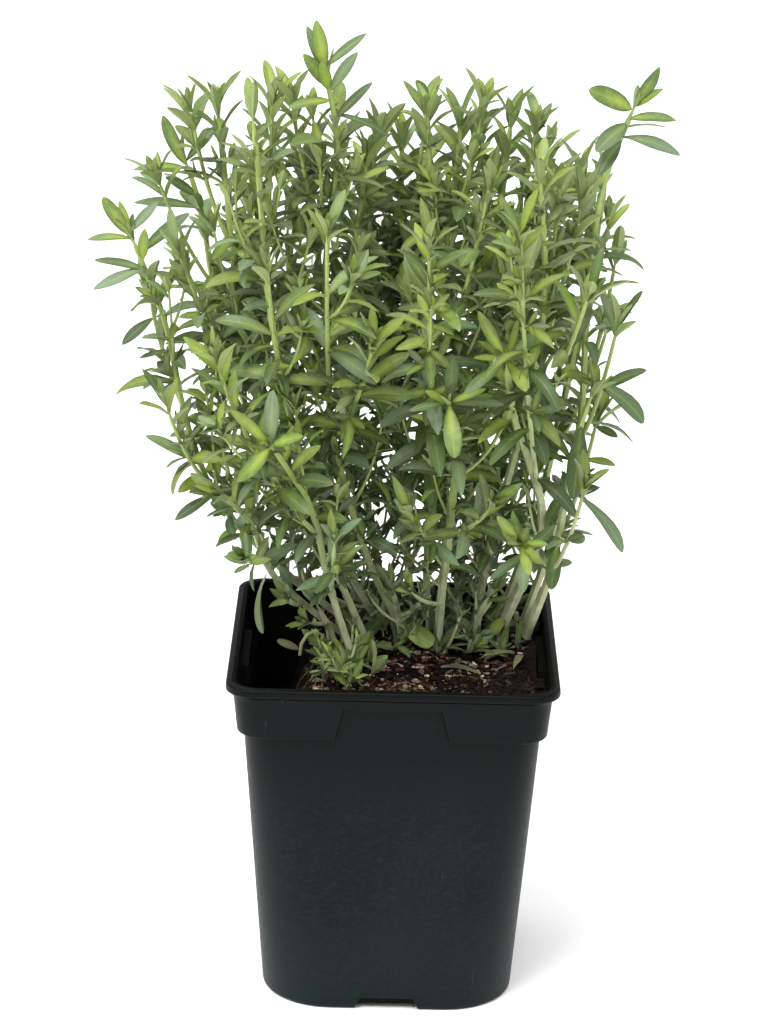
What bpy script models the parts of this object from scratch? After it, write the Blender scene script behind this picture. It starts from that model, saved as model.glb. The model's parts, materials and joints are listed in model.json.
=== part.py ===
"""A potted savory: leafy stems in a root ball, in a square plastic nursery pot.

Units are metres, +Z is up. The origin is the centre of the pot's flat base, and the
pot's sides face along X and Y. Sizes of the plant are given in millimetres and scaled by MM.
"""

import math
import random
from collections import namedtuple

import bmesh
import bpy
from mathutils import Matrix, Vector

MM = 0.001
GAP = 0.3 * MM

# Pot
WALL = 1.2 * MM
POT_HEIGHT = 120.0 * MM
BODY_HALF_BASE = 42.6 * MM
BODY_HALF_TOP = 50.2 * MM
BODY_CORNER_BASE = 23.5 * MM
BODY_CORNER_TOP = 8.8 * MM
FOOT_ROUND = 1.5 * MM
COLLAR_BOTTOM = 101.5 * MM
COLLAR_HALF_BOTTOM = 51.2 * MM
COLLAR_HALF_TOP = 52.7 * MM
COLLAR_CORNER = 9.0 * MM
COLLAR_CHAMFER = 0.6 * MM
LIP_BOTTOM = 117.0 * MM
LIP_HALF = 55.0 * MM
LIP_CORNER = 9.5 * MM
LIP_ROUND = 0.8 * MM
FLOOR = 1.4 * MM
CORNER_STEPS = 7

# Recess in the middle of each side of the collar
RECESS_TOP = 113.0 * MM
RECESS_HALF_TOP = 16.0 * MM
RECESS_HALF_BOTTOM = 19.0 * MM
RECESS_DEPTH_TO = 47.0 * MM

# Drainage channel under each side, with a slot in its ceiling
CHANNEL_HEIGHT = 4.3 * MM
CHANNEL_HALF_BOTTOM = 11.7 * MM
CHANNEL_HALF_TOP = 9.3 * MM
CHANNEL_LENGTH = 19.0 * MM
SLOT_LENGTH = 12.0 * MM
SLOT_WIDTH = 5.0 * MM
SLOT_FROM_SIDE = 11.0 * MM

# Soil
SOIL_HIGH = 111.0 * MM
SOIL_LOW = 82.0 * MM
SOIL_EDGE_X = -27.0 * MM
SOIL_EDGE_WIDTH = 11.0 * MM
SOIL_CELLS = 17
HOLE_DEPTH = 8.0 * MM
HOLE_PLAY = 0.35 * MM
HOLE_SIDES = 6

# Stems and leaves
STEM_RADIUS_FOOT = 1.15 * MM
STEM_RADIUS_TIP = 0.5 * MM
SHOOT_RADIUS_ROOT = 0.75 * MM
SHOOT_RADIUS_TIP = 0.42 * MM
STEM_RUNS = 7
SHOOT_RUNS = 3
PAIR_SPACING = 29.0 * MM
BARE_ABOVE_SOIL = 34.0 * MM
BARE_SHOOT = 5.0 * MM
LEAF_LENGTH = (13.5 * MM, 19.0 * MM)
LEAF_SHAPE = (0.25, 0.31)
LEAF_THICK = 0.76 * MM
ROOT_OFF_AXIS = 0.1 * MM
LEAF_TRIES = 8
CLEARANCE = 0.45 * MM
STEM_BALLS = 60

Shoot = namedtuple("Shoot", "at tip")
Stem = namedtuple("Stem", "foot route shoots turn", defaults=(None,))
Leaf = namedtuple("Leaf", "root along outward length width lean droop roll")

# Each stem: its foot on the soil (x, y), the points it passes through up to its tip
# (x, y, z), and its side shoots, each with the share of the stem's length where it
# leaves and its tip (x, y, z). All in millimetres. Turn, where given, is how far its
# topmost leaves are turned from the X direction, in degrees.
STEMS = {
    "stem_left_low": Stem(
        (-17, 14),
        [(-30, 10, 126), (-43, 0, 143), (-49, -13, 164), (-62, -27, 181)],
        [Shoot(0.55, (-50, -36, 160)), Shoot(0.3, (-36, -26, 143))],
    ),
    "stem_left_outer": Stem(
        (-19, 27),
        [(-38, 22, 134), (-60, 12, 162), (-71, 10, 190), (-79, 12, 226), (-93, 12, 262)],
        [Shoot(0.45, (-78, -8, 206)), Shoot(0.62, (-86, 30, 234))],
        turn=75,
    ),
    "stem_left_back": Stem(
        (-10, 37),
        [(-26, 44, 142), (-48, 44, 176), (-61, 44, 212), (-69, 46, 256), (-77, 46, 280)],
        [Shoot(0.42, (-76, 66, 232)), Shoot(0.55, (-52, 72, 262))],
        turn=75,
    ),
    "stem_left_inner": Stem(
        (-6, 24),
        [(-22, 22, 146), (-42, 20, 184), (-54, 22, 228), (-60, 24, 276), (-63, 24, 303)],
        [Shoot(0.5, (-75, 2, 256)), Shoot(0.62, (-44, 42, 286))],
    ),
    "stem_left_middle": Stem(
        (-9, 6),
        [(-22, 0, 148), (-34, -6, 190), (-43, -12, 238), (-47, -9, 280), (-50, -6, 306)],
        [Shoot(0.5, (-43, -40, 260)), Shoot(0.6, (-34, 12, 284))],
    ),
    "stem_front_left": Stem(
        (-14, -8),
        [(-22, -8, 140), (-28, -14, 168), (-36, -30, 188), (-43, -47, 204)],
        [Shoot(0.48, (-60, -40, 230)), Shoot(0.3, (-20, -42, 170))],
    ),
    "stem_tall": Stem(
        (2, 17),
        [(-10, 8, 146), (-22, 0, 192), (-25, -2, 250), (-22, -4, 290), (-28, -4, 322)],
        [Shoot(0.48, (-24, -48, 275)), Shoot(0.58, (-8, 20, 292)), Shoot(0.4, (-8, -36, 236))],
        turn=60,
    ),
    "stem_centre_back": Stem(
        (6, 38),
        [(3, 36, 150), (-2, 34, 206), (-1, 36, 260), (-1, 37, 290)],
        [Shoot(0.48, (-22, 66, 278)), Shoot(0.4, (14, 70, 256))],
    ),
    "stem_centre": Stem(
        (11, 25),
        [(11, 16, 150), (12, 7, 196), (13, 4, 240), (17, 4, 280), (18, 4, 305)],
        [Shoot(0.36, (8, -52, 275)), Shoot(0.55, (28, -24, 288))],
    ),
    "stem_centre_front": Stem(
        (15, 5),
        [(16, 2, 136), (18, -4, 162), (19, -20, 194), (16, -33, 213)],
        [Shoot(0.4, (3, -28, 176)), Shoot(0.45, (32, -28, 178)), Shoot(0.22, (4, -24, 146))],
    ),
    "stem_right_back": Stem(
        (22, 38),
        [(25, 37, 160), (30, 32, 228), (34, 34, 276), (36, 34, 299)],
        [Shoot(0.5, (50, 62, 280)), Shoot(0.4, (30, 74, 248))],
    ),
    "stem_right_front": Stem(
        (36, 12),
        [(46, 10, 144), (49, 6, 164), (43, -6, 186), (37, -20, 206), (34, -35, 228)],
        [Shoot(0.5, (36, -56, 279)), Shoot(0.32, (40, -38, 168))],
    ),
    "stem_right_middle": Stem(
        (28, 26),
        [(34, 14, 156), (42, -8, 204), (46, -22, 246), (42, -28, 295)],
        [Shoot(0.5, (60, -42, 256)), Shoot(0.62, (58, -10, 280))],
    ),
    "stem_right_slender": Stem(
        (38, 38),
        [(49, 40, 152), (58, 39, 200), (63, 39, 244), (59, 38, 280)],
        [Shoot(0.55, (71, 56, 256)), Shoot(0.4, (72, 40, 224))],
    ),
    "stem_right_top": Stem(
        (44, 25),
        [(54, 20, 150), (61, 14, 190), (62, 12, 232), (65, 8, 274), (75, 3, 306)],
        [Shoot(0.5, (72, 22, 252)), Shoot(0.4, (72, 0, 234))],
        turn=90,
    ),
    "stem_right_low": Stem(
        (45, 12),
        [(53, 4, 144), (57, 2, 172), (60, 0, 194), (66, -3, 214)],
        [Shoot(0.35, (62, -22, 184)), Shoot(0.45, (68, 18, 198))],
    ),
    "stem_back_left": Stem(
        (-3, 46),
        [(-14, 58, 164), (-27, 70, 222), (-35, 78, 266)],
        [Shoot(0.5, (-56, 76, 230)), Shoot(0.42, (-8, 86, 232))],
    ),
    "stem_back_right": Stem(
        (30, 46),
        [(37, 60, 164), (45, 72, 216), (51, 80, 260)],
        [Shoot(0.5, (66, 70, 230)), Shoot(0.42, (24, 86, 224))],
    ),
    "stem_short_left": Stem((-20, 3), [(-23, 0, 124), (-30, -3, 138)], [Shoot(0.55, (-31, -14, 130))]),
    "stem_short_centre": Stem((2, 6), [(1, 2, 128), (-2, -6, 144)], [Shoot(0.5, (9, -6, 134))]),
    "stem_short_right": Stem((28, 9), [(29, 4, 126), (34, -4, 141)], []),
}

# Shed leaves on the soil: (x, y) in millimetres and heading in degrees
FALLEN_LEAVES = [(36, -2, 20), (22, -15, 160), (42, -12, 75)]


# Scene and objects

def clear_scene():
    for obj in list(bpy.data.objects):
        bpy.data.objects.remove(obj, do_unlink=True)


def new_collection(name, hidden=False):
    collection = bpy.data.collections.new(name)
    bpy.context.scene.collection.children.link(collection)
    collection.hide_render = hidden
    return collection


def material(name, colour, roughness):
    made = bpy.data.materials.new(name)
    made.use_nodes = True
    shader = made.node_tree.nodes["Principled BSDF"]
    shader.inputs["Base Color"].default_value = (*colour, 1.0)
    shader.inputs["Roughness"].default_value = roughness
    shader.inputs["Metallic"].default_value = 0.0
    made.diffuse_color = (*colour, 1.0)
    return made


def add_object(name, mesh, collection):
    obj = bpy.data.objects.new(name, mesh)
    collection.objects.link(obj)
    return obj


def add_from_bmesh(name, bm, collection):
    bmesh.ops.recalc_face_normals(bm, faces=bm.faces)
    mesh = bpy.data.meshes.new(name)
    bm.to_mesh(mesh)
    bm.free()
    return add_object(name, mesh, collection)


def hide_as_cutter(obj):
    obj.hide_render = True
    obj.display_type = "WIRE"
    return obj


def add_boolean(obj, operation, other, solver="EXACT"):
    modifier = obj.modifiers.new(operation.title(), "BOOLEAN")
    modifier.operation = operation
    modifier.solver = solver
    if isinstance(other, bpy.types.Collection):
        modifier.operand_type = "COLLECTION"
        modifier.collection = other
    else:
        modifier.object = other


# Pot

def rounded_square(half, corner, z):
    """Points of a square with round corners, counter-clockwise at height z."""
    centre = half - corner
    points = []
    for quarter in range(4):
        turn = Matrix.Rotation(quarter * math.pi / 2, 3, "Z")
        for step in range(CORNER_STEPS + 1):
            angle = step / CORNER_STEPS * math.pi / 2
            x = centre + corner * math.cos(angle)
            y = centre + corner * math.sin(angle)
            points.append(turn @ Vector((x, y, z)))
    return points


def loft(name, sections, collection):
    """A closed body through rounded squares, each given as (z, half width, corner radius)."""
    bm = bmesh.new()
    rings = [[bm.verts.new(p) for p in rounded_square(half, corner, z)] for z, half, corner in sections]
    for low, high in zip(rings, rings[1:]):
        for i in range(len(low)):
            j = (i + 1) % len(low)
            bm.faces.new((low[i], low[j], high[j], high[i]))
    bm.faces.new(list(reversed(rings[0])))
    bm.faces.new(rings[-1])
    return add_from_bmesh(name, bm, collection)


def prism(name, outline, near, far, turn, collection):
    """An outline in X and Z, drawn from Y = near to Y = far and turned about Z."""
    bm = bmesh.new()
    face = bm.faces.new([bm.verts.new((x, near, z)) for x, z in outline])
    drawn = bmesh.ops.extrude_face_region(bm, geom=[face])["geom"]
    moved = [v for v in drawn if isinstance(v, bmesh.types.BMVert)]
    bmesh.ops.translate(bm, verts=moved, vec=(0, far - near, 0))
    bmesh.ops.rotate(bm, verts=bm.verts, matrix=Matrix.Rotation(turn, 3, "Z"))
    return add_from_bmesh(name, bm, collection)


def body_half(z):
    return BODY_HALF_BASE + (BODY_HALF_TOP - BODY_HALF_BASE) * z / LIP_BOTTOM


def body_corner(z):
    return BODY_CORNER_BASE + (BODY_CORNER_TOP - BODY_CORNER_BASE) * z / LIP_BOTTOM


def collar_half(z):
    share = (z - COLLAR_BOTTOM) / (LIP_BOTTOM - COLLAR_BOTTOM)
    return COLLAR_HALF_BOTTOM + (COLLAR_HALF_TOP - COLLAR_HALF_BOTTOM) * share


def body_sections(inset, low, high):
    return [(z, body_half(z) - inset, body_corner(z) - inset) for z in (low, high)]


def sides():
    """The quarter turns that carry a feature of the front side to each side."""
    return [quarter * math.pi / 2 for quarter in range(4)]


def cavity(name, inset, collection, cutters):
    """The inside of the pot, drawn in by inset from its outer surface."""
    collar_floor = COLLAR_BOTTOM + inset
    top = POT_HEIGHT + WALL
    wide = loft(name + "_collar", [
        (collar_floor, collar_half(collar_floor) - inset, COLLAR_CORNER - inset),
        (top, collar_half(top) - inset, COLLAR_CORNER - inset),
    ], cutters)
    panels = new_collection(name + "_panels", hidden=True)
    for index, turn in enumerate(sides()):
        outline = recess_outline(inset, collar_floor - inset)
        panel = prism(f"{name}_panel_{index}", outline, -LIP_HALF, -RECESS_DEPTH_TO + inset, turn, panels)
        hide_as_cutter(panel)
    add_boolean(wide, "DIFFERENCE", panels)
    hide_as_cutter(wide)
    inside = loft(name, body_sections(inset, FLOOR + inset - WALL, top + inset), collection)
    add_boolean(inside, "UNION", wide)
    covers = new_collection(name + "_covers", hidden=True)
    for index, turn in enumerate(sides()):
        outline = channel_outline(inset)
        reach = -BODY_HALF_BASE + CHANNEL_LENGTH + inset
        cover = prism(f"{name}_cover_{index}", outline, -LIP_HALF, reach, turn, covers)
        hide_as_cutter(cover)
    add_boolean(inside, "DIFFERENCE", covers)
    return inside


def recess_outline(grow, bottom):
    return [
        (-RECESS_HALF_BOTTOM - grow, bottom - grow),
        (RECESS_HALF_BOTTOM + grow, bottom - grow),
        (RECESS_HALF_TOP + grow, RECESS_TOP + grow),
        (-RECESS_HALF_TOP - grow, RECESS_TOP + grow),
    ]


def channel_outline(grow):
    below = -FLOOR
    return [
        (-CHANNEL_HALF_BOTTOM - grow, below),
        (CHANNEL_HALF_BOTTOM + grow, below),
        (CHANNEL_HALF_TOP + grow, CHANNEL_HEIGHT + grow),
        (-CHANNEL_HALF_TOP - grow, CHANNEL_HEIGHT + grow),
    ]


def slot_outline():
    half = SLOT_LENGTH / 2
    top = CHANNEL_HEIGHT + 2 * WALL
    return [(-half, CHANNEL_HEIGHT / 2), (half, CHANNEL_HEIGHT / 2), (half, top), (-half, top)]


def make_pot(parts, cutters):
    foot = []
    for angle in (0.0, math.pi / 4):
        inset = FOOT_ROUND * (1 - math.sin(angle))
        z = FOOT_ROUND * (1 - math.cos(angle))
        foot.append((z, body_half(z) - inset, body_corner(z) - inset))
    pot = loft("pot", foot + body_sections(0.0, FOOT_ROUND, LIP_BOTTOM + GAP), parts)

    collar = loft("collar", [
        (COLLAR_BOTTOM, collar_half(COLLAR_BOTTOM) - COLLAR_CHAMFER, COLLAR_CORNER),
        (COLLAR_BOTTOM + COLLAR_CHAMFER, collar_half(COLLAR_BOTTOM), COLLAR_CORNER),
        (LIP_BOTTOM + GAP, collar_half(LIP_BOTTOM), COLLAR_CORNER),
    ], cutters)
    recesses = new_collection("recesses", hidden=True)
    for index, turn in enumerate(sides()):
        outline = recess_outline(0.0, COLLAR_BOTTOM - WALL)
        hide_as_cutter(prism(f"recess_{index}", outline, -LIP_HALF, -RECESS_DEPTH_TO, turn, recesses))
    add_boolean(collar, "DIFFERENCE", recesses)

    lip = loft("lip", [
        (LIP_BOTTOM, LIP_HALF - LIP_ROUND, LIP_CORNER),
        (LIP_BOTTOM + LIP_ROUND, LIP_HALF, LIP_CORNER),
        (POT_HEIGHT - LIP_ROUND, LIP_HALF, LIP_CORNER),
        (POT_HEIGHT - LIP_ROUND / 4, LIP_HALF - LIP_ROUND / 4, LIP_CORNER),
        (POT_HEIGHT, LIP_HALF - LIP_ROUND, LIP_CORNER),
    ], cutters)
    inside = cavity("pot_inside", WALL, cutters, cutters)

    openings = new_collection("channels", hidden=True)
    for index, turn in enumerate(sides()):
        reach = -BODY_HALF_BASE + CHANNEL_LENGTH
        hide_as_cutter(prism(f"channel_{index}", channel_outline(0.0), -LIP_HALF, reach, turn, openings))
        near = -BODY_HALF_BASE + SLOT_FROM_SIDE
        slot = prism(f"slot_{index}", slot_outline(), near, near + SLOT_WIDTH, turn, openings)
        hide_as_cutter(slot)

    add_boolean(pot, "UNION", hide_as_cutter(collar))
    add_boolean(pot, "UNION", hide_as_cutter(lip))
    add_boolean(pot, "DIFFERENCE", hide_as_cutter(inside))
    add_boolean(pot, "DIFFERENCE", openings)
    pot.data.materials.append(material("pot_plastic", (0.022, 0.032, 0.030), 0.45))
    return pot


# Soil

def smooth_step(share):
    share = min(1.0, max(0.0, share))
    return share * share * (3 - 2 * share)


def soil_height(x, y):
    """The root ball's surface: high at the right, a drop at the left, and clods."""
    edge = SOIL_EDGE_X + 2.5 * MM * math.sin(y / (8 * MM)) + 1.5 * MM * math.sin(y / (3.1 * MM) + 1)
    rise = smooth_step((x - edge + SOIL_EDGE_WIDTH) / SOIL_EDGE_WIDTH)
    mound = 3.0 * MM * math.exp(-((x - 8 * MM) ** 2 + (y - 18 * MM) ** 2) / (24 * MM) ** 2)
    front = 2.5 * MM * smooth_step((x - 18 * MM) / (26 * MM)) * smooth_step((-y - 8 * MM) / (30 * MM))
    clods = 0.9 * MM * math.sin(x / (3.7 * MM) + 0.6) * math.sin(y / (4.3 * MM) + 1.1)
    clods += 0.7 * MM * math.sin((x + y) / (6.1 * MM)) + 0.5 * MM * math.sin((x - 2 * y) / (7.3 * MM))
    return SOIL_LOW + rise * (SOIL_HIGH - SOIL_LOW + mound + front) + clods


def make_soil(parts, cutters):
    soil = cavity("soil", WALL + GAP, parts, cutters)
    bm = bmesh.new()
    bmesh.ops.create_grid(bm, x_segments=SOIL_CELLS, y_segments=SOIL_CELLS, size=LIP_HALF)
    bmesh.ops.triangulate(bm, faces=bm.faces)
    drawn = bmesh.ops.extrude_face_region(bm, geom=bm.faces[:])["geom"]
    top = [v for v in drawn if isinstance(v, bmesh.types.BMVert)]
    for vert in bm.verts:
        vert.co.z = -WALL
    for vert in top:
        vert.co.z = soil_height(vert.co.x, vert.co.y)
    surface = hide_as_cutter(add_from_bmesh("soil_surface", bm, cutters))
    add_boolean(soil, "INTERSECT", surface)

    holes = new_collection("stem_holes", hidden=True)
    for name, stem in STEMS.items():
        x, y = (value * MM for value in stem.foot)
        bottom = stem_foot(stem).z - GAP
        depth = HOLE_DEPTH * 2
        bm = bmesh.new()
        radius = (STEM_RADIUS_FOOT + HOLE_PLAY) / math.cos(math.pi / HOLE_SIDES)
        bmesh.ops.create_cone(bm, cap_ends=True, segments=HOLE_SIDES, radius1=radius, radius2=radius, depth=depth)
        bmesh.ops.translate(bm, verts=bm.verts, vec=(x, y, bottom + depth / 2))
        hide_as_cutter(add_from_bmesh("hole_" + name, bm, holes))
    add_boolean(soil, "DIFFERENCE", holes)
    soil.data.materials.append(material("potting_soil", (0.035, 0.018, 0.012), 0.95))
    return soil


# Paths of the stems

def curve_through(points, runs):
    """Points of a smooth curve through the given ones, in runs of equal length."""
    ends = [points[0] * 2 - points[1]] + points + [points[-1] * 2 - points[-2]]
    dense = [points[0].copy()]
    for a, b, c, d in zip(ends, ends[1:], ends[2:], ends[3:]):
        for step in range(1, 13):
            t = step / 12
            bend = (2 * a - 5 * b + 4 * c - d) * t * t + (3 * b - a - 3 * c + d) * t ** 3
            dense.append((2 * b + (c - a) * t + bend) / 2)
    return resample(dense, runs)


def resample(points, runs):
    lengths = [0.0]
    for a, b in zip(points, points[1:]):
        lengths.append(lengths[-1] + (b - a).length)
    even = []
    place = 0
    for i in range(runs + 1):
        wanted = lengths[-1] * i / runs
        while place < len(points) - 2 and lengths[place + 1] < wanted:
            place += 1
        span = lengths[place + 1] - lengths[place]
        even.append(points[place].lerp(points[place + 1], (wanted - lengths[place]) / span))
    return even


def stem_foot(stem):
    x, y = (value * MM for value in stem.foot)
    return Vector((x, y, soil_height(x, y) - HOLE_DEPTH))


def stem_axes(stem):
    """The paths of a stem, upright in its hole, and of its side shoots, in straight runs."""
    foot = stem_foot(stem)
    neck = foot + Vector((0, 0, HOLE_DEPTH + 3 * MM))
    main = [foot] + curve_through([neck] + [Vector(p) * MM for p in stem.route], STEM_RUNS)
    axes = [main]
    for shoot in stem.shoots:
        start, _ = along(main, shoot.at * path_length(main))
        tip = Vector(shoot.tip) * MM
        reach = tip - start
        elbow = start + Vector((reach.x * 0.62, reach.y * 0.62, reach.z * 0.36))
        bend = [start.lerp(elbow, i / 24).lerp(elbow.lerp(tip, i / 24), i / 24) for i in range(25)]
        axes.append(resample(bend, SHOOT_RUNS))
    return axes


def along(path, distance):
    """The point and the direction of a path at a distance from its start."""
    for a, b in zip(path, path[1:]):
        run = (b - a).length
        if distance <= run:
            break
        distance -= run
    heading = (b - a).normalized()
    return a + heading * min(distance, run), heading


def path_length(path):
    return sum((b - a).length for a, b in zip(path, path[1:]))


# Leaves

def midrib(leaf, share):
    """The point of a leaf's midrib at a share of its length, its direction and its upper side."""
    angle = leaf.lean + leaf.droop * share
    ahead = (math.sin(angle) - math.sin(leaf.lean)) / leaf.droop
    aside = (math.cos(leaf.lean) - math.cos(angle)) / leaf.droop
    point = leaf.root + (leaf.along * ahead + leaf.outward * aside) * leaf.length
    heading = leaf.along * math.cos(angle) + leaf.outward * math.sin(angle)
    upper = leaf.along * math.sin(angle) - leaf.outward * math.cos(angle)
    return point, heading, Matrix.Rotation(leaf.roll, 3, heading) @ upper


def half_width(leaf, share):
    """Half the blade's width: narrow at the root, widest past the middle, pointed."""
    return leaf.width / 2 * math.sin(math.pi * share ** 0.8) ** 0.8 if share < 1 else 0.0


class Crowd:
    """The room that stems and leaves take up, as balls sorted into cells."""

    CELL = 6 * MM

    def __init__(self):
        self.cells = {}

    def cell(self, point):
        return tuple(math.floor(value / self.CELL) for value in point)

    def add(self, owner, balls, rooted):
        for point, radius in balls:
            self.cells.setdefault(self.cell(point), []).append((owner, point, radius, rooted))

    def is_free(self, owner, balls):
        return all(self.ball_is_free(owner, point, radius, index) for index, (point, radius) in enumerate(balls))

    def ball_is_free(self, owner, point, radius, index):
        cx, cy, cz = self.cell(point)
        for x in (cx - 1, cx, cx + 1):
            for y in (cy - 1, cy, cy + 1):
                for z in (cz - 1, cz, cz + 1):
                    for other, centre, size, rooted in self.cells.get((x, y, z), ()):
                        if other == owner and (rooted or index < 2):
                            continue
                        if (centre - point).length < radius + size:
                            return False
        return True


def leaf_balls(leaf):
    return [(midrib(leaf, share)[0], half_width(leaf, share) + CLEARANCE) for share in (0.15, 0.32, 0.5, 0.68, 0.85, 1.0)]


def clears_pot_and_soil(balls):
    for point, radius in balls:
        side = max(abs(point.x), abs(point.y))
        if side - radius > LIP_HALF or point.z - radius > POT_HEIGHT + SOIL_HIGH - SOIL_LOW:
            continue
        if point.z - radius < POT_HEIGHT and side + radius > BODY_HALF_TOP - WALL:
            return False
        if side < LIP_HALF and point.z - radius < soil_height(point.x, point.y) + MM:
            return False
    return True


def draw_leaf(root, heading, outward, age, rng):
    """A leaf that leaves the stem at root. Age runs from 0 at a tip to 1 low on the stem."""
    length = rng.uniform(*LEAF_LENGTH) * (0.72 + 0.28 * smooth_step(age * 4))
    width = length * rng.uniform(*LEAF_SHAPE)
    lean = math.radians(26 + 34 * min(1.0, age * 3) + rng.uniform(-7, 7))
    droop = math.radians(16 + 44 * min(1.0, age * 1.6) + rng.uniform(-10, 16))
    roll = math.radians(rng.uniform(-18, 18))
    return Leaf(root, heading, outward, length, width, lean, droop, roll)


def leaves_of_axis(owner, key, path, start, turn, crowd):
    """Crossed pairs of leaves along one axis, the last two pairs close together at its tip."""
    rng = random.Random(key)
    length = path_length(path)
    count = int((length - start) / PAIR_SPACING)
    turn = rng.uniform(0, math.pi) if turn is None else math.radians(turn)
    leaves = []
    places = [length - 1.2 * MM, length - 4.5 * MM]
    places += [places[1] - PAIR_SPACING * (i + 0.8) for i in range(count)]
    for level, place in enumerate(places):
        root, heading = along(path, place)
        across = heading.cross(Vector((0, 1, 0))).normalized()
        for side in range(2):
            for attempt in range(LEAF_TRIES):
                spread = rng.uniform(-0.25, 0.25) * (1 + attempt)
                angle = turn + level * math.pi / 2 + side * math.pi + spread
                outward = Matrix.Rotation(angle, 3, heading) @ across
                leaf = draw_leaf(root, heading, outward, (length - place) / (120 * MM), rng)
                balls = leaf_balls(leaf)
                if clears_pot_and_soil(balls) and crowd.is_free(owner, balls):
                    crowd.add(owner, balls, rooted=False)
                    leaves.append(leaf)
                    break
    return leaves


def axis_radius(is_main, share):
    if is_main:
        return STEM_RADIUS_FOOT + (STEM_RADIUS_TIP - STEM_RADIUS_FOOT) * share
    return SHOOT_RADIUS_ROOT + (SHOOT_RADIUS_TIP - SHOOT_RADIUS_ROOT) * share


def plan_leaves():
    """The leaves of every stem, each placed clear of the other stems and of their leaves."""
    crowd = Crowd()
    axes_of = {name: stem_axes(stem) for name, stem in STEMS.items()}
    for name, axes in axes_of.items():
        for index, path in enumerate(axes):
            points = resample(path, STEM_BALLS)
            radii = [axis_radius(index == 0, i / STEM_BALLS) + CLEARANCE for i in range(STEM_BALLS + 1)]
            crowd.add(name, zip(points, radii), rooted=True)
    leaves_of = {}
    for name, axes in axes_of.items():
        leaves = []
        for index, path in enumerate(axes):
            start, turn = (BARE_ABOVE_SOIL, STEMS[name].turn) if index == 0 else (BARE_SHOOT, None)
            leaves += leaves_of_axis(name, f"{name} {index}", path, start, turn, crowd)
        leaves_of[name] = leaves
    return axes_of, leaves_of


def blade_mesh(leaf, name):
    """A closed blade: pointed at both ends, arched, flat above and keeled along the midrib below."""
    bm = bmesh.new()
    root = bm.verts.new(leaf.root + leaf.outward * ROOT_OFF_AXIS)
    tip = bm.verts.new(midrib(leaf, 1.0)[0])
    rings = []
    for share in (0.36, 0.72):
        point, heading, upper = midrib(leaf, share)
        aside = heading.cross(upper)
        half = half_width(leaf, share)
        ring = [point + aside * half, point - aside * half, point - upper * LEAF_THICK]
        rings.append([bm.verts.new(p) for p in ring])
    for i in range(3):
        j = (i + 1) % 3
        bm.faces.new((root, rings[0][i], rings[0][j]))
        bm.faces.new((rings[0][i], rings[1][i], rings[1][j], rings[0][j]))
        bm.faces.new((rings[1][i], tip, rings[1][j]))
    bmesh.ops.recalc_face_normals(bm, faces=bm.faces)
    mesh = bpy.data.meshes.new(name)
    bm.to_mesh(mesh)
    bm.free()
    return mesh


def tube(name, path, is_main, collection):
    """A four-sided tapered tube along a path, as a closed mesh."""
    curve = bpy.data.curves.new(name, "CURVE")
    curve.dimensions = "3D"
    curve.bevel_depth = 1.0
    curve.bevel_resolution = 0
    curve.use_fill_caps = True
    spline = curve.splines.new("POLY")
    spline.points.add(len(path) - 1)
    for index, point in enumerate(path):
        spline.points[index].co = (*point, 1.0)
        spline.points[index].radius = axis_radius(is_main, index / (len(path) - 1))
    drawn = add_object(name + "_curve", curve, collection)
    graph = bpy.context.evaluated_depsgraph_get()
    mesh = bpy.data.meshes.new_from_object(drawn.evaluated_get(graph))
    bm = bmesh.new()
    bm.from_mesh(mesh)
    bmesh.ops.remove_doubles(bm, verts=bm.verts, dist=0.001 * MM)
    bmesh.ops.recalc_face_normals(bm, faces=bm.faces)
    bm.to_mesh(mesh)
    bm.free()
    mesh.name = name
    made = add_object(name, mesh, collection)
    made.matrix_world = drawn.matrix_world
    bpy.data.objects.remove(drawn, do_unlink=True)
    return made


def apply_modifiers(obj):
    graph = bpy.context.evaluated_depsgraph_get()
    mesh = bpy.data.meshes.new_from_object(obj.evaluated_get(graph))
    obj.modifiers.clear()
    obj.data = mesh


def make_stem(name, axes, leaves, parts, green):
    """One stem with its side shoots and leaves, joined in one body."""
    growth = new_collection(name + "_growth", hidden=True)
    stem = tube(name, axes[0], True, parts)
    for index, path in enumerate(axes[1:]):
        tube(f"{name}_shoot_{index}", path, False, growth)
    for index, leaf in enumerate(leaves):
        add_object(f"{name}_leaf_{index}", blade_mesh(leaf, f"{name}_leaf_{index}"), growth)
    add_boolean(stem, "UNION", growth, solver="MANIFOLD")
    apply_modifiers(stem)
    for obj in list(growth.objects):
        bpy.data.objects.remove(obj, do_unlink=True)
    bpy.data.collections.remove(growth)
    stem.data.materials.clear()
    stem.data.materials.append(green)
    return stem


def make_fallen_leaves(parts):
    dry = material("shed_leaf", (0.30, 0.33, 0.16), 0.7)
    for index, (x, y, heading) in enumerate(FALLEN_LEAVES, 1):
        direction = Matrix.Rotation(math.radians(heading), 3, "Z") @ Vector((1, 0, 0))
        middle = Vector((x, y, 0)) * MM
        length = LEAF_LENGTH[0]
        spots = [middle + direction * length * (share - 0.5) for share in (0, 0.25, 0.5, 0.75, 1)]
        level = max(soil_height(p.x, p.y) for p in spots) + LEAF_THICK
        root = spots[0] + Vector((0, 0, level))
        leaf = Leaf(root, Vector((0, 0, 1)), direction, length, length * 0.28, math.radians(86), math.radians(8), 0.0)
        name = f"fallen_leaf_{index}"
        add_object(name, blade_mesh(leaf, name), parts).data.materials.append(dry)


def build():
    clear_scene()
    parts = new_collection("potted_savory")
    cutters = new_collection("cutters", hidden=True)
    green = material("savory_green", (0.16, 0.26, 0.09), 0.6)
    axes_of, leaves_of = plan_leaves()
    for name, axes in axes_of.items():
        make_stem(name, axes, leaves_of[name], parts, green)
    make_fallen_leaves(parts)
    make_pot(parts, cutters)
    make_soil(parts, cutters)


build()
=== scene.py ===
import json
import math
import random
from collections import namedtuple

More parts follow.
